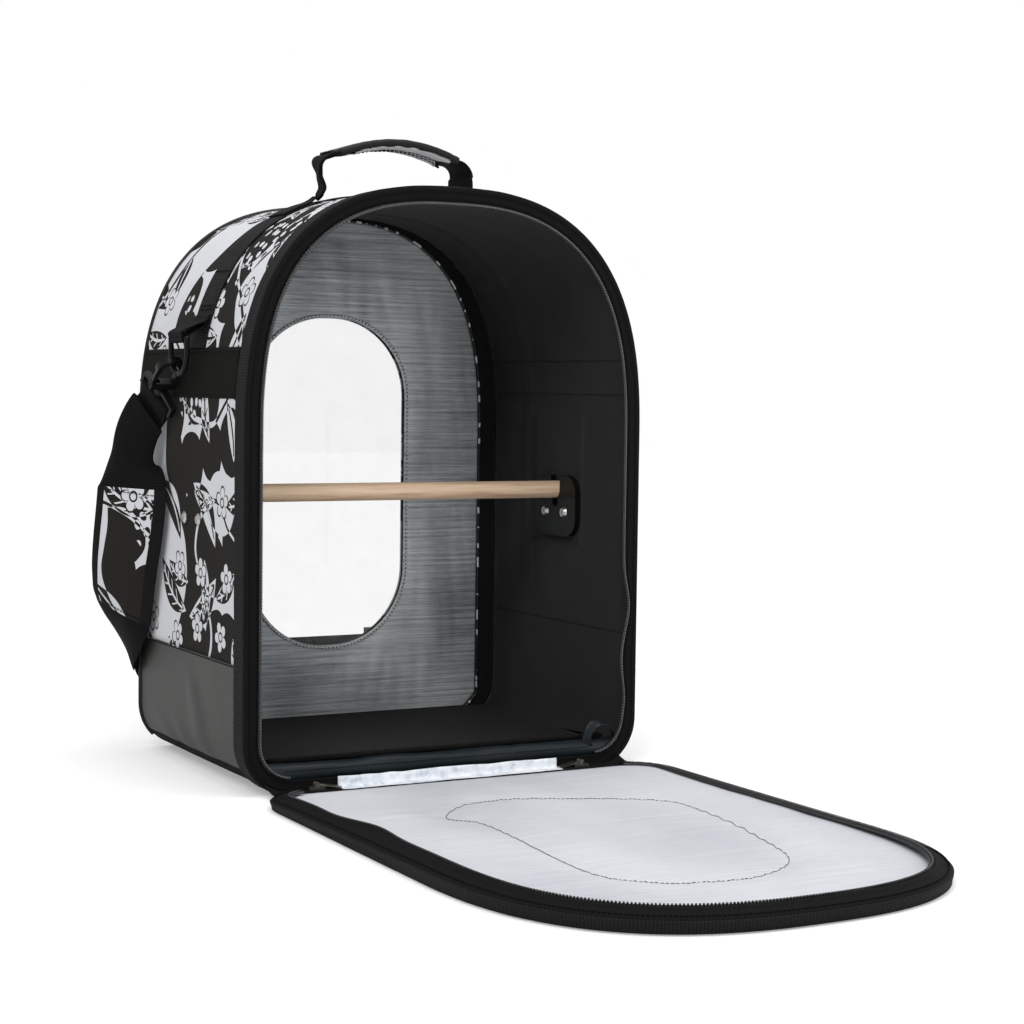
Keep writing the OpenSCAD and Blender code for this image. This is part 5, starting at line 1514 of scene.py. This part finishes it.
def addHandleRoots():
    # where each leg comes out of the webbing: a short run that lies along the top and lifts at the leg
    for side, label in bothSides:
        path, outs, wide = [], [], []
        for t in steps(0, 1, 20):
            x = grab["leg"] + 0.0022 + 0.036 * t
            slope = (surfaceZ(x + 0.001) - surfaceZ(x - 0.001)) / 0.002
            n = Vector((-slope, 0, 1)).normalized()
            p = Vector((x, 0, surfaceZ(x))) + n * (body["webbingT"] + 0.0009 + 0.0034 * max(0, 1 - t / 0.3) ** 2)
            path.append(Vector((side * p.x, body["webbingY"], p.z)))
            outs.append(Vector((side * n.x, 0, n.z)))
            wide.append(0.012 + 0.0245 * ease(t / 0.5))
        webbingBand("handleRoot" + label, path, outs, wide, Vector((0, 1, 0)), body["bandT"], "web")


addHandleRoots()
print("webbing done")

# shoulder strap
strap = {
    "backY": 0.157, "backZ": 0.072, "backHalf": 0.150, "per": 3, "turnIn": 0.35,
    # places on the left in millimetres from the wall, the middle and the floor, and directions across the webbing
    "stops": [((-18, 71, 300), (-0.48, 0.66, 0.57)), ((-21, 80, 283), (-0.52, 0.74, 0.42)),
              ((-22, 84, 263), (-0.52, 0.80, 0.28)), ((-22.5, 81, 241), (-0.52, 0.81, 0.25)),
              ((-23, 86, 214), (-0.52, 0.81, 0.25)), ((-23, 96, 187), (-0.50, 0.81, 0.28)),
              ((-22, 106, 161), (-0.47, 0.81, 0.33)), ((-19, 117, 134), (-0.42, 0.80, 0.40)),
              ((-13, 129, 108), (-0.30, 0.70, 0.62)), ((-4, 142, 89), (-0.14, 0.45, 0.88)),
              ((13, 153, 77), (-0.04, 0.16, 0.98)), ((35, 157, 72), (0, 0, 1))],
    "padFirst": 1, "padLast": 31, "padW": 0.080, "padT": 0.009, "neckT": 0.0035, "printFrom": 12.0,
    "printTo": 24.4,
}


def strapCourse():
    lean, turn = math.radians(fitting["lean"]), math.radians(fitting["turn"])
    away = Vector((0, math.sin(lean), -math.cos(lean)))
    start = Vector((-fitting["axisX"], body["webbingY"], fitting["bowZ"]))
    start += away * (fitting["eyeR"] + fitting["tail"] - 0.001)
    wide = Vector((-math.cos(turn), math.sin(turn) * math.cos(lean), math.sin(turn) * math.sin(lean)))
    places = [start] + [Vector((-body["half"] + x / 1000, y / 1000, z / 1000)) for (x, y, z), w in strap["stops"]]
    wides = [wide] + [Vector(w) for p, w in strap["stops"]]
    return away, places, wides


strapAway, strapPlaces, strapWides = strapCourse()


def strapAt(v):
    # place, direction along, across and outwards at station v, three stations to a stop
    k = min(int(v / strap["per"]), len(strapPlaces) - 2)
    u = v / strap["per"] - k
    p = through(strapPlaces, k, u)
    ahead, behind = through(strapPlaces, k, min(u + 0.02, 1.0)), through(strapPlaces, k, max(u - 0.02, 0.0))
    along = (ahead - behind).normalized()
    # both ends take up the direction of what they join
    top, reach = (len(strapPlaces) - 1) * strap["per"], strap["turnIn"]
    if v < reach:
        along = (strapAway * (reach - v) + along * v).normalized()
    if v > top - reach:
        along = (Vector((1, 0, 0)) * (v - top + reach) + along * (top - v)).normalized()
    w = through(strapWides, k, u)
    across = (w - along * w.dot(along)).normalized()
    return p, along, across, across.cross(along)


def flipX(v):
    return Vector((-v.x, v.y, v.z))


def addStrap():
    top = (len(strapPlaces) - 1) * strap["per"]
    stations = steps(0, top, 220)
    made = [strapAt(v) for v in stations]
    lean, turn = math.radians(fitting["lean"]), math.radians(fitting["turn"])
    for side, label in ((-1, "Left"), (1, "Right")):
        keep = (lambda v: v) if side < 0 else flipX
        webbingBand("strap" + label, [keep(m[0]) for m in made], [keep(m[3]) for m in made], body["webbing"],
                    [keep(m[2]) for m in made], body["bandT"], "strapWeb", "shoulder_strap",
                    ["strap_" + label.lower()])
        # the end goes round the bar of the swivel eye and is sewn down on itself
        seat = Matrix.Translation((side * fitting["axisX"], body["webbingY"], fitting["bowZ"]))
        seat = seat @ Matrix.Rotation(lean, 4, "X") @ Matrix.Translation((0, 0, -fitting["collarR"]))
        seat = seat @ Matrix.Diagonal((side, 1, 1, 1)) @ Matrix.Rotation(turn, 4, "Z")
        seat = seat @ Matrix.Translation((0, 0, fitting["collarR"] - fitting["eyeR"]))
        r = 0.0026 + 0.00075
        pts = [(-0.0008 - (r - 0.0008) * t ** 1.3, -fitting["tail"] * (1 - t)) for t in steps(0, 0.9, 8)]
        pts += [(-r * math.cos(a), r * math.sin(a)) for a in (math.pi * i / 14 for i in range(15))]
        pts += [(0.0008 + (r - 0.0008) * t ** 1.3, -fitting["tail"] * (1 - t)) for t in steps(0.9, 0, 8)]
        path = [seat @ Vector((0, y, z)) for y, z in pts]
        outs, sides = [], []
        for i in range(len(pts)):
            a, b = pts[max(i - 1, 0)], pts[min(i + 1, len(pts) - 1)]
            n = Vector((0, -(b[1] - a[1]), b[0] - a[0])).normalized()
            outs.append((seat.to_3x3() @ n).normalized())
            sides.append((seat.to_3x3() @ Vector((1, 0, 0))).normalized())
        webbingBand("strapEnd" + label, path, outs, body["webbing"] - 0.0006, sides, 0.0013, "strapWeb",
                    "shoulder_strap")
        for k, v in enumerate((0.25, 0.55, 0.85)):
            p, along, across, out = strapAt(v)
            line = [keep(p + across * w + out * 0.0008) for w in steps(-bands["tackHalf"], bands["tackHalf"], 14)]
            stitched("barStitches%s%d" % (label, k), line, keep(out), "thread", "shoulder_strap", pitch=0.0026,
                     length=0.0018)
    path = [Vector((x, strap["backY"], strap["backZ"])) for x in steps(-strap["backHalf"], strap["backHalf"], 60)]
    webbingBand("strapBack", path, Vector((0, 1, 0)), body["webbing"], Vector((0, 0, 1)),
                body["bandT"], "strapWeb",
                "shoulder_strap", ["strap_back"])


addStrap()
print("strap done")


foam = {
    # height over the webbing's middle, length of the swelling and how far it may go
    "base": 0.00085, "frames": 16, "most": 0.0022,
    "swelling": {"use_pressure": True, "uniform_pressure_force": 4, "quality": 6, "tension_stiffness": 8,
                 "bending_stiffness": 0.4},
    # shares of the width at which the top is modelled
    "across": (-0.5, -0.485, -0.45, -0.40, -0.36, -0.30, -0.22, -0.12, 0, 0.12, 0.22, 0.30, 0.36, 0.40,
               0.45, 0.485, 0.5),
    "seam": 0.36, "panel": 0.37,
}


def padSection(v):
    # share of the pad's length, its width and its thickness at a station
    first, n = strap["padFirst"], strap["padLast"] - strap["padFirst"]
    u = (v - first) / n
    w = max(strap["padW"] * (0.58 + 0.42 * ease((u - 0.21) / 0.18)) * (1 - 0.5 * ease((u - 0.75) / 0.25)),
            body["webbing"] + 0.002)
    t = strap["neckT"] + (strap["padT"] - strap["neckT"]) * ease(u / 0.3) * (1 - ease((u - 0.75) / 0.25))
    return u, w, t


def addPad():
    # foam pad: modelled slack, then swollen by a short cloth simulation, its underside held on the webbing
    base, across = foam["base"], foam["across"]
    stations = steps(strap["padFirst"] + 0.05, strap["padLast"] - 0.05, 74)
    rows = []
    for v in stations:
        p, along, side, out = strapAt(v)
        u, w, t = padSection(v)
        row = []
        for a in across:
            crown = max(1 - abs(a / 0.5) ** 3.2, 0)
            row.append(p + side * w * a * 0.985 + out * (base + t * (0.30 + 0.62 * crown)))
        for a in reversed(across[1:-1]):
            near = ease((abs(a * w) - 0.020) / 0.012)
            row.append(p + side * w * a * 0.985 + out * (base + 0.0001 + t * 0.16 * near))
        rows.append(row)
    count = len(rows[0])
    run = running([strapAt(v)[0] for v in stations])
    vs = [0.0]
    mid = rows[len(rows) // 2]
    for a, b in zip(mid, mid[1:] + mid[:1]):
        vs.append(vs[-1] + (b - a).length)
    pad = loft("shoulderPad", rows, us=[r + 0.7 for r in run], vs=vs)
    rest = [vert.co.copy() for vert in pad.data.vertices]
    grid = [(i // count, i % count) for i in range(len(rest))]
    group = pad.vertex_groups.new(name="held")
    fixed = [i for i, (r, c) in enumerate(grid) if c >= len(across)
             or r in (0, 1, len(rows) - 2, len(rows) - 1)]
    group.add(fixed, 1.0, "REPLACE")
    cloth = pad.modifiers.new("swell", "CLOTH")
    cloth.settings.vertex_group_mass = "held"
    for key, value in foam["swelling"].items():
        setattr(cloth.settings, key, value)
    cloth.settings.effector_weights.gravity = 0
    cloth.point_cache.frame_start, cloth.point_cache.frame_end = 1, foam["frames"]
    for f in range(1, foam["frames"] + 1):
        bpy.context.scene.frame_set(f)
    shaped = pad.evaluated_get(bpy.context.evaluated_depsgraph_get()).to_mesh()
    moved = [vert.co.copy() for vert in shaped.vertices]
    pad.evaluated_get(bpy.context.evaluated_depsgraph_get()).to_mesh_clear()
    pad.modifiers.remove(cloth)
    bpy.context.scene.frame_set(1)
    for vert, new in zip(pad.data.vertices, moved):
        push = new - vert.co
        vert.co = vert.co + push * min(1, foam["most"] / max(push.length, 1e-9))
    print("pad swollen by", round(max((a - b.co).length for a, b in zip(rest, pad.data.vertices)) * 1000, 2),
          "mm")
    # seams between the black neck, the printed panel and the black end, and the bound edges
    for i, (r, c) in enumerate(grid):
        v = stations[r]
        p, along, side, out = strapAt(v)
        dent = sum(bell(v, q, 0.22) for q in (strap["printFrom"], strap["printTo"]))
        if c < len(across):
            a = abs(across[c])
            inside = strap["printFrom"] < v < strap["printTo"]
            dent += 0.8 * bell(a, foam["seam"], 0.03) if inside else 0
            vert = pad.data.vertices[i]
            vert.co -= out * 0.0007 * dent
            vert.co += out * 0.00045 * wobble(vert.co.x, vert.co.y, vert.co.z, 60, 3.0)
    pad.data.materials.clear()
    for key in ("print", "strapWeb", "seamCloth"):
        pad.data.materials.append(kit[key].mat)
    for poly in pad.data.polygons:
        if poly.index >= (len(rows) - 1) * count:
            poly.material_index = 1
            continue
        r, c = poly.index // count, poly.index % count
        v = (stations[r] + stations[min(r + 1, len(stations) - 1)]) / 2
        onTop = c < len(across) - 1
        central = onTop and abs(across[c] + across[c + 1]) / 2 < foam["panel"]
        if strap["printFrom"] < v < strap["printTo"]:
            poly.material_index = 0 if central else 2
        else:
            poly.material_index = 1
    pad.modifiers.new("smooth", "SUBSURF").render_levels = 1
    pad.modifiers["smooth"].levels = 1
    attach(pad, "shoulder_strap")
    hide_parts("shoulder_pad")
    # rows of stitches beside the seams
    for label, v in (("Top", strap["printFrom"] + 0.55), ("Low", strap["printTo"] - 0.5)):
        r = min(range(len(stations)), key=lambda k: abs(stations[k] - v))
        line = [pad.data.vertices[r * count + c].co.copy() for c in range(4, len(across) - 4)]
        out = strapAt(stations[r])[3]
        dense = []
        for a, b in zip(line, line[1:]):
            dense += [a.lerp(b, t) for t in (0, 0.25, 0.5, 0.75)]
        stitched("padStitches" + label, dense, out, "thread", "shoulder_strap", lift=0.0002)


addPad()
print("pad done")

# parts that keep their shape
solids = {
    "seamCloth": ("back_board", "base_tray", "wall_board", "door_board"),
    "black": ("d_ring_left", "d_ring_right", "perch_bracket_left", "perch_bracket_right", "strap_adjuster",
              "swivel_eye_left",
              "swivel_eye_right", "snap_hook_left", "snap_hook_right", "hook_gate_left", "hook_gate_right"),
    "wood": ("perch",), "nickel": ("perch_screws", "perch_nuts"),
    "gunmetal": ("zip_sliders", "pull_tab_left", "pull_tab_right"),
}
for finish, names in solids.items():
    for node in names:
        dress(nodes[node], finish)


# stage and light
stage = {
    "floorTone": 0.82, "size": 8, "drop": -0.0003,
    # the floor's glow near the carrier and far off, and where one fades to the other
    "near": 0.30, "far": 1.05, "middle": (0.05, -0.2, 0), "fade": (0.75, 1.5), "sky": 0.62,
    # name, place, aim, width and power of each lamp
    "lamps": (("keyLight", (-1.6, -1.6, 2.2), (0, 0, 0.2), 1.4, 30),
              ("topLight", (0.2, -0.5, 2.6), (0, -0.1, 0.2), 2.0, 26),
              ("sideLight", (1.9, -1.5, 1.2), (0, 0, 0.2), 1.2, 10)),
}


def addStage():
    # white floor that shows the shadow near the carrier and is plain white further off
    f = Finish("floorWhite", (stage["floorTone"],) * 3, 0.7)
    spot = f.vector("MULTIPLY", f.place(), (1, 1, 0))
    gap = f.vector("SUBTRACT", spot, stage["middle"])
    distance = f.add("ShaderNodeVectorMath", {"operation": "LENGTH"}, {0: gap}, "Value")
    far = f.add("ShaderNodeMapRange", {"interpolation_type": "SMOOTHSTEP"},
                {0: distance, 1: stage["fade"][0], 2: stage["fade"][1]})
    glow, white = (f.add("ShaderNodeEmission", None, {"Color": (1, 1, 1), "Strength": k})
                   for k in (stage["near"], stage["far"]))
    lit = f.add("ShaderNodeAddShader", None, {0: f.shader, 1: glow})
    shown = f.add("ShaderNodeMixShader", None, {0: far, 1: lit, 2: white})
    rays = f.add("ShaderNodeLightPath", out="Is Camera Ray")
    f.put(f.output.inputs[0], f.add("ShaderNodeMixShader", None, {0: rays, 1: f.shader, 2: shown}))
    size = stage["size"]
    data = bpy.data.meshes.new("floor")
    corners = ((-size, -size), (size, -size), (size, size), (-size, size))
    data.from_pydata([(x, y, stage["drop"]) for x, y in corners], [], [(0, 1, 2, 3)])
    floor = newObject("floor", data)
    floor.data.materials.append(f.mat)

    # even light all round, and a plain white background
    world = bpy.data.worlds.new("studio")
    bpy.context.scene.world = world
    sky = Net(world)
    rays = sky.add("ShaderNodeLightPath", out="Is Camera Ray")
    seen = rays.sum("MAXIMUM", rays.also("Is Transmission Ray"))
    level = sky.add("ShaderNodeMapRange", None, {0: seen, 3: stage["sky"], 4: 1.0})
    shader = sky.add("ShaderNodeBackground", None, {"Color": (1, 1, 1), "Strength": level})
    sky.add("ShaderNodeOutputWorld", None, {0: shader})

    for name, spot, aim, size, power in stage["lamps"]:
        data = bpy.data.lights.new(name, "AREA")
        data.shape = "DISK"
        data.size = size
        data.energy = power
        lamp = newObject(name, data)
        lamp.location = spot
        lamp.rotation_euler = (Vector(aim) - Vector(spot)).to_track_quat("-Z", "Y").to_euler()
    bpy.context.scene.view_settings.view_transform = "Standard"


addStage()
print("scene finished")
